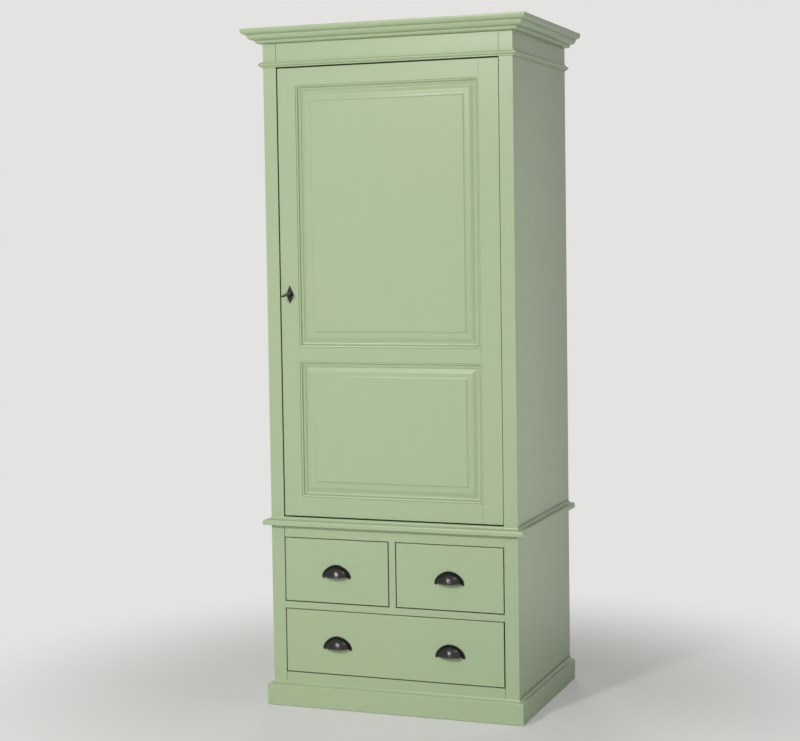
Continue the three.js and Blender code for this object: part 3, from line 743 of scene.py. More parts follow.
# Lock: a thin case with a screwed cover, a bolt with a notch, a diamond plate and the key. The
# keyhole's outline comes first, because the door's stile is bored with it too.
lock = {
    "holeRadius": 2.9 * mm,
    "slotHalf": 1.55 * mm,
    "slotLength": 10.3 * mm,
    "holeSteps": 72,
    "plate": 1.5 * mm,
    "play": 0.5 * mm,
    "caseEase": 0.3 * mm,
    "caseScrew": (2.3 * mm, 0.5 * mm),  # radius and height of a head
    "caseScrewTurns": (20, 75, -40, 5),  # of the slots, in degrees
    "caseScrewInset": 6 * mm,
    "boltCorner": 1.2 * mm,
    "boltEase": 0.35 * mm,
    "notchLength": 9.5 * mm,
    "notchDepth": 2 * mm,
    "notchOffset": 3.25 * mm,
    "diamondFlat": 2.0 * mm,
    "diamondEdge": [(1, 0), (1, 0.45), (0.985, 0.62), (0.9, 0.88), (0.85, 0.97), (0.8, 1)],
    "holeEdge": [(0.3 * mm, 1), (0, 0.85), (0, 0)],
    "diamondPins": (15 * mm, -18.5 * mm),
    "pinRadius": 1.7 * mm,
    "pinRub": 0.6,
    "plateRub": 0.08,
    "strikeHeight": 46 * mm,
    "strikeThick": 0.8 * mm,
    "strikePlay": 1.2 * mm,
    "strikeInset": (6 * mm, -1 * mm),  # from the front and from the back of the stile
    "strikeScrews": {0.72: 15, -0.72: 80},  # share of the half height, turn of the slot
    "strikeScrew": (2.6 * mm, 0.4 * mm),
}


# Distance from the key's axis to the edge of the keyhole in a direction (c, s) of length 1: the
# hole's radius, or below the axis the slot's, which is min(half / |c|, length / |s|) if that is more.
def keyholeReach(angle):
    tiny = 1e-9
    across, up = np.abs(np.cos(angle)), np.sin(angle)
    beside, below = lock["slotHalf"] / np.maximum(across, tiny), lock["slotLength"] / np.maximum(-up, tiny)
    return np.where(up < 0, np.maximum(lock["holeRadius"], np.minimum(beside, below)), lock["holeRadius"])


# Directions for the rings of a plate with a keyhole: even steps, and one at each corner.
def ringAngles(corners):
    slot = math.atan2(-lock["slotLength"], lock["slotHalf"])
    edge = -math.acos(lock["slotHalf"] / lock["holeRadius"])
    own = [slot, -math.pi - slot, edge, -math.pi - edge]
    angle = np.concatenate([np.linspace(-np.pi, np.pi, lock["holeSteps"], endpoint=False), own, corners])
    return np.unique(np.round((angle + np.pi) % (2 * np.pi) - np.pi, 7))


def ringAt(angle, reach, y):
    return ringOf(np.column_stack([lockX + reach * np.cos(angle), lockZ + reach * np.sin(angle)]), 1, y)


# Door: frame, raised panels and the planted moulding round each panel. Profiles are (across, up) in
# millimetres, from the frame inwards and from the panel's border to the front.
door = {
    "outerEase": 0.9 * mm,
    "panelEase": 0.2 * mm,
    "mouldingEase": 0.25 * mm,
    "caseGap": 0.3 * mm,
    "panelBack": 3.5 * mm,   # thickness of the panel's tongue
    "mouldingWidth": 17,
    "mouldingOuter": [(0, 0), (0, 8.1)],
    "mouldingBead": {"centre": (1.7, 8.3), "radii": (1.3, 1.1), "start": 180, "end": 80, "steps": 8},
    "mouldingSlope": [(5.2, 8.0), (5.5, 7.4), (5.8, 3.2), (6.5, 3.0), (8.0, 4.4), (9.2, 4.9), (10.0, 4.8)],
    "mouldingEdge": {"centre": (12.4, 1.7), "radii": (2.2, 2.1), "start": 66, "end": 0, "steps": 8},
    "mouldingInner": [(14.7, 1.3), (17, 1.2), (17, 0)],
    "bevelFoot": 0.3,        # up from the panel's border, beside the planted moulding
    "bevelSteps": [(13.0, 4.9), (20.5, 5.0)],  # where each wave of the bevel ends
    "bevelWave": 0.25,       # how far the slope within a wave departs from its mean
    "wavePoints": 9,
    "bevelTop": (30.8, 9.0),  # where the cove above the waves meets the field
    "coveTurn": 80,          # degrees of a quarter ellipse that the cove takes up
}


# A rectangle in the plane of the door, drawn in by an inset: its four corners.
def frameRing(area, inset, y):
    left, right, bottom, top = area[0] + inset, area[1] - inset, area[2] + inset, area[3] - inset
    return ringOf([(left, bottom), (right, bottom), (right, top), (left, top)], 1, y)


# The bevel climbs in shallow waves, then up a cove to the field. Within one wave, with t from 0 to 1
# across it, up = start + (end - start) (t - wave sin(2 pi t) / (2 pi)), steepest in the middle. At
# an angle a of the cove, up to its end e, across grows as sin a / sin e and up as
# (1 - cos a) / (1 - cos e).
def bevelRows():
    share = np.linspace(0, 1, door["wavePoints"])[1:]
    end = math.radians(door["coveTurn"])
    wave = np.column_stack([share, share - door["bevelWave"] * np.sin(2 * np.pi * share) / (2 * np.pi)])
    turn = end * share
    cove = np.column_stack([np.sin(turn) / math.sin(end), (1 - np.cos(turn)) / (1 - math.cos(end))])
    rows = [np.array([[0, door["bevelFoot"]]])]
    for target, curve in [(step, wave) for step in door["bevelSteps"]] + [(door["bevelTop"], cove)]:
        start = rows[-1][-1]
        rows.append(start + (np.array(target) - start) * curve)
    return np.concatenate(rows)


# The planted moulding, from the frame inwards: a thin bead, a long slope, a steep step into a
# groove, a low second bead with a rounded edge, and a narrow quirk beside the panel.
def plantedRows():
    return [
        *door["mouldingOuter"], *arc(**door["mouldingBead"]), *door["mouldingSlope"],
        *arc(**door["mouldingEdge"]), *door["mouldingInner"],
    ]


# The test for the ends of the door's own outline. Its stiles and rails meet without a visible
# joint, so that only the edges that lie on this outline are eased.
def onOutline(points):
    near = 0.01 * mm
    lockLow, hingeHigh = boxOf("door_stile_lock")[0], boxOf("door_stile_hinge")[1]
    sides = np.abs(points[:, [0, 0, 2, 2]] - (lockLow[0], hingeHigh[0], lockLow[2], hingeHigh[2]))
    return (sides < near).any(axis=1)


def makeDoor():
    rails = {key: boxOf(f"door_{key}_rail") for key in ("bottom", "middle", "top")}
    between = boxOf("door_stile_lock")[1][0], boxOf("door_stile_hinge")[0][0]
    for node, material in (
        ("door_stile_hinge", frontUpright),
        ("door_top_rail", frontAcross),
        ("door_middle_rail", frontAcross),
        ("door_bottom_rail", frontAcross),
    ):
        low, high = boxOf(node)
        if material is frontAcross:
            low[0], high[0] = between
        board = boardShape(low, high)
        standFor(
            node, "painted_wood", [board], material, sharp=30, ease=door["outerEase"], test=onOutline)
    panelBackY = boxOf("door_lower_panel")[1][1]
    borderY = panelBackY - door["panelBack"]
    for part, below, above in (("lower", "bottom", "middle"), ("upper", "middle", "top")):
        area = (-panelX, panelX, rails[below][1][2], rails[above][0][2])
        rings = [frameRing(area, 0, panelBackY), frameRing(area, 0, borderY)]
        for across, up in bevelRows():
            rings.append(frameRing(area, (door["mouldingWidth"] + across) * mm, borderY - up * mm))
        node = f"door_{part}_panel"
        shape = skin(rings)
        standFor(node, "painted_wood", [shape], paintUpright, sharp=20, ease=door["panelEase"], steps=1)
        rings = [frameRing(area, across * mm, borderY - up * mm) for across, up in plantedRows()]
        shape = skin(rings, joinEnds=True)
        node = f"{part}_panel_moulding"
        standFor(node, "painted_wood", [shape], paintUpright, sharp=25, ease=door["mouldingEase"], steps=2)


# The lock stile is notched from its outer back corner for the lock case. The ring keeps its number
# of points: where the case sits, the corner steps in along a straight ledge.
def makeLockStile():
    low, high = boxOf("door_stile_lock")
    caseLow, caseHigh = boxOf("lock_case")
    gap, beyond = door["caseGap"], 1 * mm
    notchX, notchY = caseHigh[0] + gap, caseLow[1] - gap
    under, over = caseLow[2] - gap, caseHigh[2] + gap
    whole, cut = (low[0], high[1]), (notchX, notchY)
    rings = []
    for z, corner in (
        (low[2], whole), (under, whole), (under, cut), (over, cut), (over, whole), (high[2], whole),
    ):
        section = [
            (low[0], low[1]), (high[0], low[1]), (high[0], high[1]),
            (notchX, high[1]), corner, (low[0], notchY),
        ]
        rings.append(ringOf(section, 2, z))
    angle = ringAngles([])
    bore = skin([ringAt(angle, keyholeReach(angle), y) for y in (low[1] - beyond, notchY + beyond)])
    standFor(
        "door_stile_lock", "painted_wood", [skin(rings)], frontUpright,
        sharp=30, cut=bore, ease=door["outerEase"], test=onOutline)


makeDoor()
makeLockStile()
print("door made")


# Drawers: thick painted fronts, pine boxes with rounded top edges and thin bottoms
drawers = {
    "frontEase": 1.6 * mm,
    "boxEase": 1.2 * mm,
    "bottomEase": 0.3 * mm,
    "side": 12 * mm,
    "trim": {                # planed off the left, bottom, right and top edge of a front
        "upper_left": (0.0, 0.5 * mm, 0.8 * mm, 0.0),
        "upper_right": (0.3 * mm, 0.5 * mm, 0.6 * mm, 0.0),
        "lower": (0.0, 0.3 * mm, 1.3 * mm, 0.0),
    },
}


def makeDrawers():
    side = drawers["side"]
    for part, (left, bottom, right, top) in drawers["trim"].items():
        node = f"drawer_{part}_front"
        low, high = boxOf(node)
        front = boardShape(low + (left, 0, bottom), high - (right, 0, top))
        standFor(node, "painted_wood", [front], frontAcross, ease=drawers["frontEase"], steps=4)
        node = f"drawer_{part}_box"
        low, high = boxOf(node)
        shapes = [
            boardShape(low, (low[0] + side, high[1], high[2])),
            boardShape((low[0] + side, high[1] - side, low[2]), (high[0] - side, high[1], high[2])),
            boardShape((high[0] - side, low[1], low[2]), high),
        ]
        standFor(node, "bare_pine", shapes, [pineDeep, pineAcross, pineDeep], ease=drawers["boxEase"])
        node = f"drawer_{part}_bottom"
        standFor(node, "thin_board", [boardOf(node)], thinBoardDeep, ease=drawers["bottomEase"], steps=2)


makeDrawers()
print("drawers made")


# Cup pull: one closed profile carried round the arch of the pull. At each place on the arch it goes
# over the beaded rim, down into a groove, out over the dome to the lip, round the lip and back
# inside. Its two ends run down into rounded feet.
pull = {
    "archSteps": 64,
    "domeSteps": 20,
    "beadSteps": 10,
    "lipSteps": 5,
    "footSteps": 8,
    "domeX": 38.3 * mm,      # half width of the dome
    "domeOut": 24 * mm,
    "domeUp": 30.5 * mm,
    "archPower": 1.75,
    "innerTilt": 3,          # degrees of the dome's quarter turn that are left out at the rim
    "lipTilt": 55,           # and where the lip is
    "lipTurn": (20, 160),    # degrees of the half circle that rounds the lip
    "rim": 7.7 * mm,         # width of the rim at the feet
    "rimTop": 5 * mm,
    "bead": 1.9 * mm,        # height of the bead on the rim
    "beadEdge": 0.5 * mm,    # width and height of the step beside it
    "groove": 0.7 * mm,
    "grooveWidth": 0.4 * mm,
    "wall": 1.8 * mm,
    "foot": 6 * mm,
    "footTurn": 85,
    "lipRub": 0.4,
    "lipRubWidth": 3 * mm,
    "lipRubOut": 2.5 * mm,
    "beadRub": 0.1,
    "beadRubWidth": 0.5 * mm,
}


# The arch is a superellipse. Its radius in a direction (across, up) of length 1 is
# (|across| ^ power + |up| ^ power) ^ (-1 / power).
def archRadius(across, up):
    power = pull["archPower"]
    return (np.abs(across) ** power + np.abs(up) ** power) ** (-1 / power)


# The dome at one place on the arch. The ball's point is (cos turn, sin turn sin tilt / sin end,
# sin turn (cos tilt - cos end) / (1 - cos end)), with end for the tilt at the lip, so that the
# front still leans back there. It is drawn in to the arch, then scaled to the three half axes.
def domeRow(turn, tilt, inset):
    end, tiny = math.radians(pull["lipTilt"]), 1e-9
    ball = np.column_stack([
        np.full(len(tilt), math.cos(turn)), math.sin(turn) * np.sin(tilt) / math.sin(end),
        math.sin(turn) * (np.cos(tilt) - math.cos(end)) / (1 - math.cos(end)),
    ])
    reach = np.maximum(np.hypot(ball[:, 0], ball[:, 2]), tiny)
    axes = np.array([pull["domeX"], -pull["domeOut"], pull["domeUp"]])
    row = ball * (axes - np.sign(axes) * inset)
    row[:, [0, 2]] *= archRadius(ball[:, 0] / reach, ball[:, 2] / reach)[:, None]
    return row


def pullRing(turn, drop, shrink):
    rim, wall, step = pull["rim"], pull["wall"], pull["beadEdge"]
    over = np.radians(np.linspace(0, 180, pull["beadSteps"] + 1))
    width = np.concatenate([[rim], rim / 2 + (rim / 2 - step) * np.cos(over), [pull["grooveWidth"]]])
    lift = np.concatenate([[0], step + (pull["bead"] - step) * np.sin(over), [pull["groove"]]])
    radius = archRadius(math.cos(turn), math.sin(turn))
    edge = np.column_stack([
        radius * math.cos(turn) * (pull["domeX"] + width), -lift,
        radius * math.sin(turn) * (pull["domeUp"] + width * pull["rimTop"] / rim),
    ])
    tilt = np.radians(np.linspace(pull["innerTilt"], pull["lipTilt"], pull["domeSteps"]))
    outside, inside = domeRow(turn, tilt, 0), domeRow(turn, tilt[::-1], wall)
    lipTurn = np.radians(np.linspace(*pull["lipTurn"], pull["lipSteps"] + 1))[:, None]
    middle, half = (outside[-1] + inside[0]) / 2, (outside[-1] - inside[0]) / 2
    lip = middle + half * np.cos(lipTurn) - np.array([0, 0, wall / 2 * math.sin(turn)]) * np.sin(lipTurn)
    back = domeRow(turn, np.zeros(1), wall)
    ring = np.concatenate([edge, outside, lip, inside, back])
    foot = math.copysign(pull["domeX"] + rim / 2 - wall / 2, math.cos(turn))
    ring[:, 0] = foot + (ring[:, 0] - foot) * shrink
    ring[:, 1] *= shrink
    ring[:, 2] -= drop
    return ring


def pullShape(centre):
    curl = np.radians(np.linspace(0, pull["footTurn"], pull["footSteps"] + 1))
    straight = pull["foot"] - pull["rim"] / 2
    ends = [(0.0, 1.0)] + [(straight + pull["rim"] / 2 * math.sin(a), math.cos(a)) for a in curl]
    rings = [pullRing(0.0, drop, shrink) for drop, shrink in ends[::-1]]
    rings += [pullRing(turn, 0.0, 1.0) for turn in np.linspace(0, np.pi, pull["archSteps"])[1:-1]]
    rings += [pullRing(np.pi, drop, shrink) for drop, shrink in ends]
    points, faces = skin(rings)
    return points + np.array(centre), faces


# How far the dark finish is rubbed off: most at the lip, less along the bead.
def pullRub(points, centre):
    out, up = centre[1] - points[:, 1], points[:, 2] - centre[2]
    lip = np.clip(1 - np.abs(up) / pull["lipRubWidth"], 0, 1) * (out > pull["lipRubOut"])
    bead = np.clip(1 - np.abs(out - pull["bead"]) / pull["beadRubWidth"], 0, 1)
    return np.maximum(pull["lipRub"] * lip, pull["beadRub"] * bead)


def addRub(obj, values):
    rub = obj.data.attributes.new("rub", "FLOAT", "POINT")
    rub.data.foreach_set("value", np.asarray(values, np.float32))


def makePulls():
    for place in ("upper_left", "upper_right", "lower_left", "lower_right"):
        node = f"cup_pull_{place}"
        low, high = boxOf(node)
        centre = ((low[0] + high[0]) / 2, high[1], low[2] + pull["foot"])
        obj = standFor(node, "dark_iron", [pullShape(centre)], darkIron, sharp=50)
        addRub(obj, pullRub(pointsOf(obj.data), centre))


makePulls()
print("pulls made")


# A slotted screw head. Each half is a row of sections across the slot: at a place u along it, the
# section runs out to sqrt(radius^2 - u^2), and its top falls as tall (1 - (u^2 + v^2) / radius^2).
screw = {
    "slot": 0.13,            # half width of the slot, as a share of the radius
    "reach": 0.985,          # share of the radius that the two halves and the slot's floor take up
    "rim": 0.3,              # height at the rim, and of the slot's floor, as shares of the height
    "floor": 0.22,
    "steps": (15, 9, 28),    # along the slot, across it and round its floor
}


def screwHead(centre, out, slotTurn, radius, tall):
    out = np.array(out, float)
    side = np.array([0.0, 0.0, 1.0]) if abs(out[2]) < 0.5 else np.array([1.0, 0.0, 0.0])
    cross = np.cross(out, side)
    turn = math.radians(slotTurn)
    ahead = math.cos(turn) * side + math.sin(turn) * cross
    beside = np.cross(out, ahead)
    half, rim = screw["slot"] * radius, screw["rim"] * tall
    along, across, around = screw["steps"]
    shapes = []
    for sign in (1, -1):
        rings = []
        for u in np.linspace(-screw["reach"], screw["reach"], along) * math.sqrt(radius ** 2 - half ** 2):
            v = np.linspace(half, math.sqrt(radius ** 2 - u ** 2), across)
            top = rim + (tall - rim) * (1 - (u ** 2 + v ** 2) / radius ** 2)
            v, top = np.concatenate([[v[0]], v, [v[-1]]]), np.concatenate([[0], top, [0]])
            rings.append(centre + u * ahead + sign * v[:, None] * beside + top[:, None] * out)
        shapes.append(skin(rings))
    angle = np.linspace(0, 2 * np.pi, around, endpoint=False)[:, None]
    edge = screw["reach"] * radius * (np.cos(angle) * ahead + np.sin(angle) * beside)
    shapes.append(skin([centre + edge, centre + edge + screw["floor"] * tall * out]))
    return shapes


# Hanging rail: a tube in two turned sockets, each held by two slotted screws
hanging = {
    "wall": 1.5 * mm,
    "ease": 0.5 * mm,
    "flange": 3 * mm,
    "dome": 0.9 * mm,        # rounding of the flange and the collar
    "domeSteps": 4,
    "play": 0.3 * mm,
    "collarWall": 3 * mm,
    "core": 0.5 * mm,        # radius that is left open in the middle of the socket's floor
    "screwOut": 20.8 * mm,   # from the middle of the socket
    "screwTurns": {1: 35, -1: -60},  # upper and lower screw, turn of the slot in degrees
    "screw": (3.4 * mm, 1.1 * mm),  # radius and height of a head
}


def makeHangingRail():
    low, high = boxOf("hanging_rail")
    centre, radius = (low + high) / 2, (high[2] - low[2]) / 2
    half, ease, bore = high[0], hanging["ease"], radius - hanging["wall"]
    tube = [
        (bore, -half), (radius - ease, -half), (radius, -half + ease),
        (radius, half - ease), (radius - ease, half), (bore, half),
    ]
    shape = turned(tube, centre, 0, steps=64, joinEnds=True)
    standFor("hanging_rail", "steel", [shape], steel, sharp=60)
    flange, dome, play, steps = (hanging[key] for key in ("flange", "dome", "play", "domeSteps"))
    for node, sign in (("rail_socket_left", -1), ("rail_socket_right", 1)):
        low, high = boxOf(node)
        wide, reach = (high[2] - low[2]) / 2, high[0] - low[0]
        wall = low[0] if sign < 0 else high[0]
        inner = radius + play
        outer = inner + hanging["collarWall"]
        profile = np.concatenate([
            [(wide, 0)],
            arc((wide - dome, flange - dome), (dome, dome), 0, 90, steps),
            arc((outer + dome, flange + dome), (-dome, -dome), 90, 0, steps),
            arc((outer - dome, reach - dome), (dome, dome), 0, 90, steps),
            [(inner + play, reach), (inner, reach - play), (inner, flange), (hanging["core"], flange)],
        ]) * (1, -sign)
        shapes = [turned(profile, (wall, centre[1], centre[2]), 0, steps=48)]
        for place, turn in hanging["screwTurns"].items():
            spot = (wall - sign * flange, centre[1], centre[2] + place * hanging["screwOut"])
            shapes += screwHead(spot, (-sign, 0, 0), turn, *hanging["screw"])
        standFor(node, "steel", shapes, steel, sharp=35)


# Pivot pins of the door, with chamfered ends
pins = {"ease": 0.8 * mm}


def makePins():
    for node in ("hinge_pin_top", "hinge_pin_bottom"):
        low, high = boxOf(node)
        radius, half, ease = (high[0] - low[0]) / 2, (high[2] - low[2]) / 2, pins["ease"]
        pin = [(radius - ease, -half), (radius, ease - half), (radius, half - ease), (radius - ease, half)]
        standFor(node, "steel", [turned(pin, (low + high) / 2, 2, steps=48)], darkIron, sharp=35)


makeHangingRail()
makePins()
print("hanging rail and pins made")


# The diamond's domed edge is a row of (share of its reach, share of its thickness), and the edge of
# its keyhole one of (out from the hole, share of its thickness).
def makeEscutcheon():
    low, high = boxOf("escutcheon")
    wide, tall = (high[0] - low[0]) / 2, (high[2] - low[2]) / 2
    angle = ringAngles([0, np.pi / 2, -np.pi / 2])
    reach = 1 / (np.abs(np.cos(angle)) / wide + np.abs(np.sin(angle)) / tall)
    hole, flat = keyholeReach(angle), lock["diamondFlat"]
    rings = [ringAt(angle, share * reach, frontY - depth * flat) for share, depth in lock["diamondEdge"]]
    rings += [ringAt(angle, hole + out, frontY - depth * flat) for out, depth in lock["holeEdge"]]
    shapes = [skin(rings, joinEnds=True)]
    for place in lock["diamondPins"]:
        dome = domeProfile((lock["pinRadius"], high[1] - low[1] - flat), end=86, steps=6)
        shapes.append(turned(dome * (1, -1), (lockX, frontY - flat, lockZ + place), 1, steps=20))
    obj = standFor("escutcheon", "dark_iron", shapes, darkIron, name="diamondPlate", sharp=40)
    near = 0.05 * mm
    above = pointsOf(obj.data)[:, 1] < frontY - flat - near
    addRub(obj, np.where(above, lock["pinRub"], lock["plateRub"]))


# The case: cover, edge plate with a slot for the bolt, front plate with the keyhole, three walls.
def makeLockCase():
    low, high = boxOf("lock_case")
    boltLow, boltHigh = boxOf("lock_bolt")
    plate, play, tiny = lock["plate"], lock["play"], 1e-9
    frontTop, coverY = low[1] + plate, high[1] - plate
    corners = [math.atan2(z - lockZ, x - lockX) for x in (low[0], high[0]) for z in (low[2], high[2])]
    angle = ringAngles(corners)
    reaches = []
    for way, start, end, middle in (
        (np.cos(angle), low[0], high[0], lockX), (np.sin(angle), low[2], high[2], lockZ),
    ):
        edge = np.where(way > 0, end - middle, start - middle)
        reaches.append(np.abs(edge / np.where(np.abs(way) < tiny, tiny, way)))
    outer, hole = np.minimum(*reaches), keyholeReach(angle)
    front = [
        ringAt(angle, outer, low[1]), ringAt(angle, hole, low[1]),
        ringAt(angle, hole, frontTop), ringAt(angle, outer, frontTop),
    ]
    left, slotLow, slotHigh = low[0] + plate, boltLow[2] - play, boltHigh[2] + play
    shapes = [
        skin(front, joinEnds=True),
        boardShape((low[0], coverY, low[2]), high),
        boardShape((low[0], frontTop, low[2]), (left, coverY, slotLow)),
        boardShape((low[0], frontTop, slotHigh), (left, coverY, high[2])),
        boardShape((left, frontTop, low[2]), (high[0], coverY, low[2] + plate)),
        boardShape((left, frontTop, high[2] - plate), (high[0], coverY, high[2])),
        boardShape((high[0] - plate, frontTop, low[2] + plate), (high[0], coverY, high[2] - plate)),
    ]
    standFor("lock_case", "steel", shapes, steelUpright, sharp=30, ease=lock["caseEase"], steps=2)
    inset, screws = lock["caseScrewInset"], []
    places = [(x, z) for z in (low[2] + inset, high[2] - inset) for x in (low[0] + inset, high[0] - inset)]
    for (x, z), turn in zip(places, lock["caseScrewTurns"]):
        screws += screwHead((x, high[1], z), (0, 1, 0), turn, *lock["caseScrew"])
    rideWith("lock_case", screws, steelUpright, "lockScrews", 35)


def makeBolt():
    low, high = boxOf("lock_bolt")
    middle, half = lockX + lock["notchOffset"], lock["notchLength"] / 2
    ease, notchTop = lock["boltCorner"], low[2] + lock["notchDepth"]
    outline = [
        (low[0], low[2] + ease), (low[0] + ease, low[2]),
        (middle - half, low[2]), (middle - half, notchTop),
        (middle + half, notchTop), (middle + half, low[2]),
        (high[0], low[2]), (high[0], high[2]),
        (low[0] + ease, high[2]), (low[0], high[2] - ease),
    ]
    shape = prism(outline, 1, low[1], high[1])
    standFor("lock_bolt", "brass", [shape], brass, sharp=30, ease=lock["boltEase"], steps=2)


# A thin plate let against the edge of the face stile, round the mortise for the bolt.
def makeStrike():
    boltLow, boltHigh = boxOf("lock_bolt")
    play, half = lock["strikePlay"], lock["strikeHeight"] / 2
    near, far = -openingX, -openingX + lock["strikeThick"]
    lowY, highY = np.array([frontY, frameBackY]) + lock["strikeInset"]
    middle = (boltLow[2] + boltHigh[2]) / 2

    def rectangle(x, y0, y1, z0, z1):
        return ringOf([(y0, z0), (y1, z0), (y1, z1), (y0, z1)], 0, x)

    hole = (boltLow[1] - play, boltHigh[1] + play / 2, boltLow[2] - play, boltHigh[2] + play)
    whole = (lowY, highY, middle - half, middle + half)
    rings = [rectangle(near, *whole), rectangle(near, *hole), rectangle(far, *hole), rectangle(far, *whole)]
    shapes = [skin(rings, joinEnds=True)]
    for place, turn in lock["strikeScrews"].items():
        spot = (far, (lowY + highY) / 2, middle + place * half)
        shapes += screwHead(spot, (1, 0, 0), turn, *lock["strikeScrew"])
    rideWith("face_stile_left", shapes, darkIron, "strikePlate", 30)


makeEscutcheon()
makeLockCase()
makeBolt()
makeStrike()
print("lock made")


# Key, drawn with its bit straight down and then turned about the key's axis, which runs along Y
key = {
    "turn": 115,             # degrees, as it rests in the lock
    "reach": 30 * mm,        # from the door's front to the middle of the bow
    "bowRadius": 12.1 * mm,  # to the middle of its bar
    "bowSteps": (64, 16),
    "barWide": 2.4 * mm,
    "barThick": 2.5 * mm,
    "shank": 2.75 * mm,
    "neck": [                # share of the shank's radius, distance from the bow
        (0.6, 0), (1.25, 0.6 * mm), (1.3, 2 * mm), (1.02, 3.4 * mm),
    ],
    "collarSteps": 10,
    "collars": [             # from the plate to the middle, half length, rise from the shank
        (7.3 * mm, 0.9 * mm, 1.2 * mm), (2.5 * mm, 1.4 * mm, 1.5 * mm),
    ],
    "tailEase": 0.6 * mm,
    "bitLength": 10 * mm,
    "bitHalf": 1.2 * mm,
    "bitEase": (0.4 * mm, 0.5 * mm),
    "ward": (2 * mm, 3 * mm),
    "wardDepth": 3 * mm,
    "rub": 0.25,
    "bowRub": 0.6,           # more than that, growing from the neck to the bow
    "rubFrom": 14 * mm,
    "rubOver": 8 * mm,
}


def turnKey(shape):
    points, faces = shape
    turn = math.radians(key["turn"])
    x = points[:, 0] * math.cos(turn) - points[:, 2] * math.sin(turn)
    z = points[:, 0] * math.sin(turn) + points[:, 2] * math.cos(turn)
    return np.column_stack([lockX + x, frontY + points[:, 1], lockZ + z]), faces


# The bow is a ring: its bar's oval section (thick cos b, wide sin b) is carried round by an angle a.
def bowShape():
    around, bar = (np.linspace(0, 2 * np.pi, steps, endpoint=False) for steps in key["bowSteps"])
    around = around[:, None]
    radius = key["bowRadius"] + key["barWide"] * np.sin(bar)
    x = np.broadcast_to(key["barThick"] * np.cos(bar), key["bowSteps"])
    rings = np.stack([x, radius * np.cos(around) - key["reach"], radius * np.sin(around)], axis=-1)
    return skin(rings, joinEnds=True)


def makeKey():
    boltLow, boltHigh = boxOf("lock_bolt")
    plate = boxOf("escutcheon")[0][1] - frontY
    start, shank = key["bowRadius"] - key["reach"], key["shank"]
    tail, bitY = boltHigh[1] - frontY, boltLow[1] - frontY
    profile = [(share * shank, start + along) for share, along in key["neck"]]
    for back, half, rise in key["collars"]:
        profile += arc((shank, plate - back), (rise, -half), 90, -90, key["collarSteps"]).tolist()
    profile += [(shank, tail - key["tailEase"]), (shank - key["tailEase"], tail)]
    (easeY, easeZ), (wardStart, wardEnd) = key["bitEase"], key["ward"]
    end, ward = -key["bitLength"], key["wardDepth"] - key["bitLength"]
    outline = [
        (bitY, 0), (bitY, end + easeZ), (bitY + easeY, end), (bitY + wardStart, end),
        (bitY + wardStart, ward), (bitY + wardEnd, ward), (bitY + wardEnd, end),
        (tail - easeY, end), (tail, end + easeZ), (tail, 0),
    ]
    bit = prism(outline, 0, -key["bitHalf"], key["bitHalf"])
    shapes = [turnKey(shape) for shape in (bowShape(), turned(profile, (0, 0, 0), 1), bit)]
    obj = standFor("key", "dark_iron", shapes, darkIron, name="doorKey", sharp=45)
    out = frontY - pointsOf(obj.data)[:, 1]
    addRub(obj, key["rub"] + key["bowRub"] * np.clip((out - key["rubFrom"]) / key["rubOver"], 0, 1))


makeKey()
print("key made")


# Fixings that the CAD leaves out: the pulls' screws inside the drawer fronts, and the back's nails
fixings = {
    "washer": (5.2 * mm, 0.9 * mm),
    "screwLift": 0.7 * mm,
    "screwTurns": {-1: -20, 1: 80},  # left and right screw, turn of the slot in degrees
    "screw": (3.6 * mm, 1.9 * mm),
    "nailRadius": 2.4 * mm,
    "nailSunk": 0.1 * mm,
    "nailInset": 8 * mm,
    "nailsAcross": 7,
    "nailsUp": 15,
}


def makePullScrews():
    washer = domeProfile(fixings["washer"])
    for drawer, places in (
        ("upper_left", ["upper_left"]),
        ("upper_right", ["upper_right"]),
        ("lower", ["lower_left", "lower_right"]),
    ):
        shapes = []
        for place in places:
            low, high = boxOf(f"cup_pull_{place}")
            middle, reach = (low[0] + high[0]) / 2, (high[0] - low[0]) / 2 - pull["rim"] / 2
            for sign, turn in fixings["screwTurns"].items():
                spot = np.array([middle + sign * reach, frameBackY, low[2] + pull["foot"]])
                shapes.append(turned(washer, spot, 1, steps=24))
                shapes += screwHead(spot + (0, fixings["screwLift"], 0), (0, 1, 0), turn, *fixings["screw"])
        rideWith(f"drawer_{drawer}_front", shapes, steel, pieceName(f"pull_screws_{drawer}"), 35)


def makeNails():
    low, high = boxOf("back_panel")
    inset, y = fixings["nailInset"], high[1] - body["backSunk"]
    across = np.linspace(low[0] + inset, high[0] - inset, fixings["nailsAcross"])
    up = np.linspace(low[2] + inset, high[2] - inset, fixings["nailsUp"])
    places = [(x, z) for x in across for z in (up[0], up[-1])]
    places += [(x, z) for x in across[[0, -1]] for z in up[1:-1]]
    head = domeProfile((fixings["nailRadius"], body["backSunk"] - fixings["nailSunk"]), steps=4)
    shapes = [turned(head, (x, y, z), 1, steps=16) for x, z in places]
    rideWith("back_panel", shapes, steel, "backNails", 50)


makePullScrews()
makeNails()
print("fixings made")


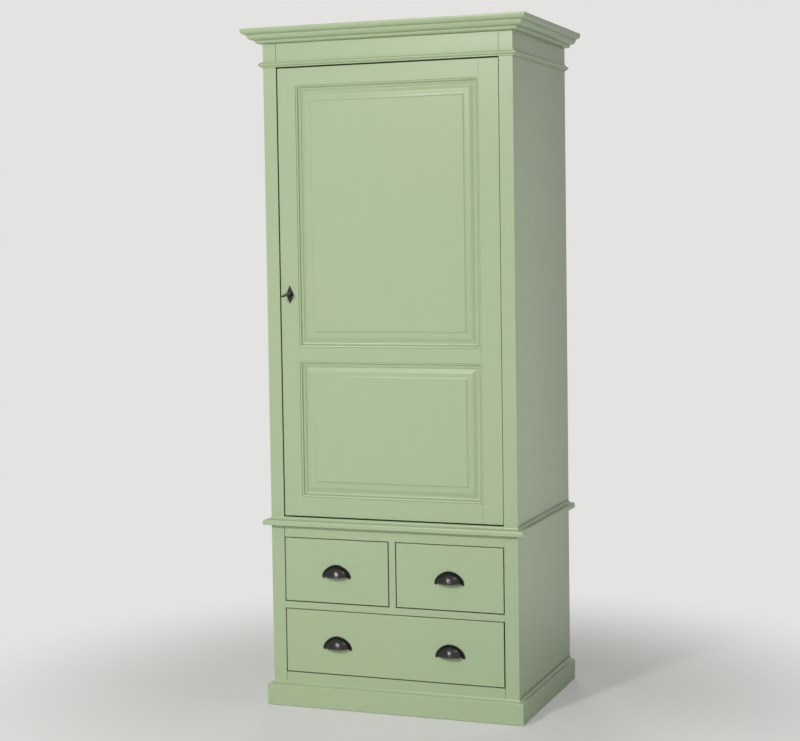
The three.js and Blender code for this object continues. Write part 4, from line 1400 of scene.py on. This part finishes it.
# Studio: a pale floor that fades into a pale ground, a world that gives light from the front, and
# seven lamps. Those that give light show in no reflection, and those that give sheen show only there.
studio = {
    "ground": colour(228, 227, 225),
    "floor": colour(228, 228, 225),
    "floorGlow": 0.3,
    "floorFade": (0.55, 1.7),
    "floorRadius": 30,
    "floorSteps": 96,
    "worldFront": 0.82,      # light from ahead and a little to the left, falling to nothing opposite
    "worldFall": 3.0,
    "worldAim": (-0.35, -0.93, 0.12),
}
lamps = {                    # place, what it is aimed at, width and height, power, what it gives
    "keyLamp": ((-0.75, -3.8, 2.45), (0, frontY, 1.1), (0.34, 0.34), 73, "light"),
    "shineLamp": ((-0.7, -3.75, 2.85), (0, frontY, 1.1), (0.42, 0.42), 35, "sheen"),
    "fillLamp": ((-0.15, -1.7, 0.8), (-0.15, frontY, 0.8), (0.9, 0.9), 2.6, "light"),
    "sideLamp": ((1.2, -0.34, 1.05), (sideX, -0.16, 1.05), (0.2, 1.8), 2.3, "light"),
    "glintLamp": ((1.55, -1.0, 2.9), (0.2, frontY, 0.4), (1.8, 0.4), 9, "sheen"),
    "windowLamp": ((-0.85, -3.3, 3.0), (0, frontY, 1.1), (1.8, 0.9), 14, "sheen"),
    "backLamp": ((-1.4, 3.6, 2.0), (0, backY, 1.1), (1.2, 1.2), 45, "light"),
}
lampSpreads = {"sideLamp": 140}  # in degrees, where it is less than all round


def cameraShare(tree):
    path = addNode(tree, "LightPath", {})
    total = path.outputs["Is Camera Ray"]
    for ray in ("Is Glossy Ray", "Is Transmission Ray"):
        total = compute(tree, "MAXIMUM", total, path.outputs[ray])
    return total


def makeWorld():
    world = bpy.data.worlds.new("paleGround")
    bpy.context.scene.world = world
    world.use_nodes = True
    tree = world.node_tree
    tree.nodes.clear()
    place = addNode(tree, "TexCoord", {}).outputs["Generated"]
    facing = addNode(tree, "VectorMath", {0: place, 1: studio["worldAim"]}, operation="DOT_PRODUCT")
    ahead = spread(tree, facing.outputs["Value"], 0, 1, -1, 1)
    ahead = compute(tree, "POWER", ahead, studio["worldFall"])
    level = compute(tree, "MULTIPLY", ahead, studio["worldFront"])
    light = addNode(tree, "Background", {"Strength": level}).outputs[0]
    seen = addNode(tree, "Background", {"Color": studio["ground"]}).outputs[0]
    mix = addNode(tree, "MixShader", {0: cameraShare(tree), 1: light, 2: seen}).outputs[0]
    addNode(tree, "OutputWorld", {"Surface": mix})


def makeFloor():
    material, tree = newMaterial("paleFloor")
    reach = addNode(tree, "VectorMath", {0: objectPlace(tree)}, operation="LENGTH").outputs["Value"]
    fade = spread(
        tree, reach, studio["floorGlow"], 1, *studio["floorFade"], interpolation_type="SMOOTHSTEP")
    share = compute(tree, "MULTIPLY", fade, cameraShare(tree))
    lit = addNode(tree, "BsdfDiffuse", {"Color": studio["floor"]}).outputs[0]
    glow = addNode(tree, "Emission", {"Color": studio["ground"]}).outputs[0]
    mix = addNode(tree, "MixShader", {0: share, 1: lit, 2: glow}).outputs[0]
    addNode(tree, "OutputMaterial", {"Surface": mix})
    angle = np.linspace(0, 2 * np.pi, studio["floorSteps"], endpoint=False)
    rim = np.column_stack([np.cos(angle), np.sin(angle), np.zeros(len(angle))]) * studio["floorRadius"]
    mesh = bpy.data.meshes.new("floor")
    mesh.from_pydata(rim.tolist(), [], [list(range(len(angle)))])
    mesh.materials.append(material)
    addObject("floor", mesh)


def makeLamps():
    for name, (place, aim, size, power, gives) in lamps.items():
        data = bpy.data.lights.new(name, "AREA")
        data.shape = "RECTANGLE"
        data.size, data.size_y = size
        data.energy = power
        data.spread = math.radians(lampSpreads.get(name, 180))
        lamp = addObject(name, data)
        back = np.array(place) - np.array(aim)
        back = back / np.linalg.norm(back)
        right = np.cross((0, 0, 1), back)
        right = right / np.linalg.norm(right)
        placeBy(lamp, place, right, np.cross(back, right), back)
        lamp.visible_camera = False
        lamp.visible_glossy = gives == "sheen"
        lamp.visible_diffuse = gives == "light"


makeWorld()
makeFloor()
makeLamps()
bpy.context.scene.view_settings.view_transform = "Standard"
print("studio made")
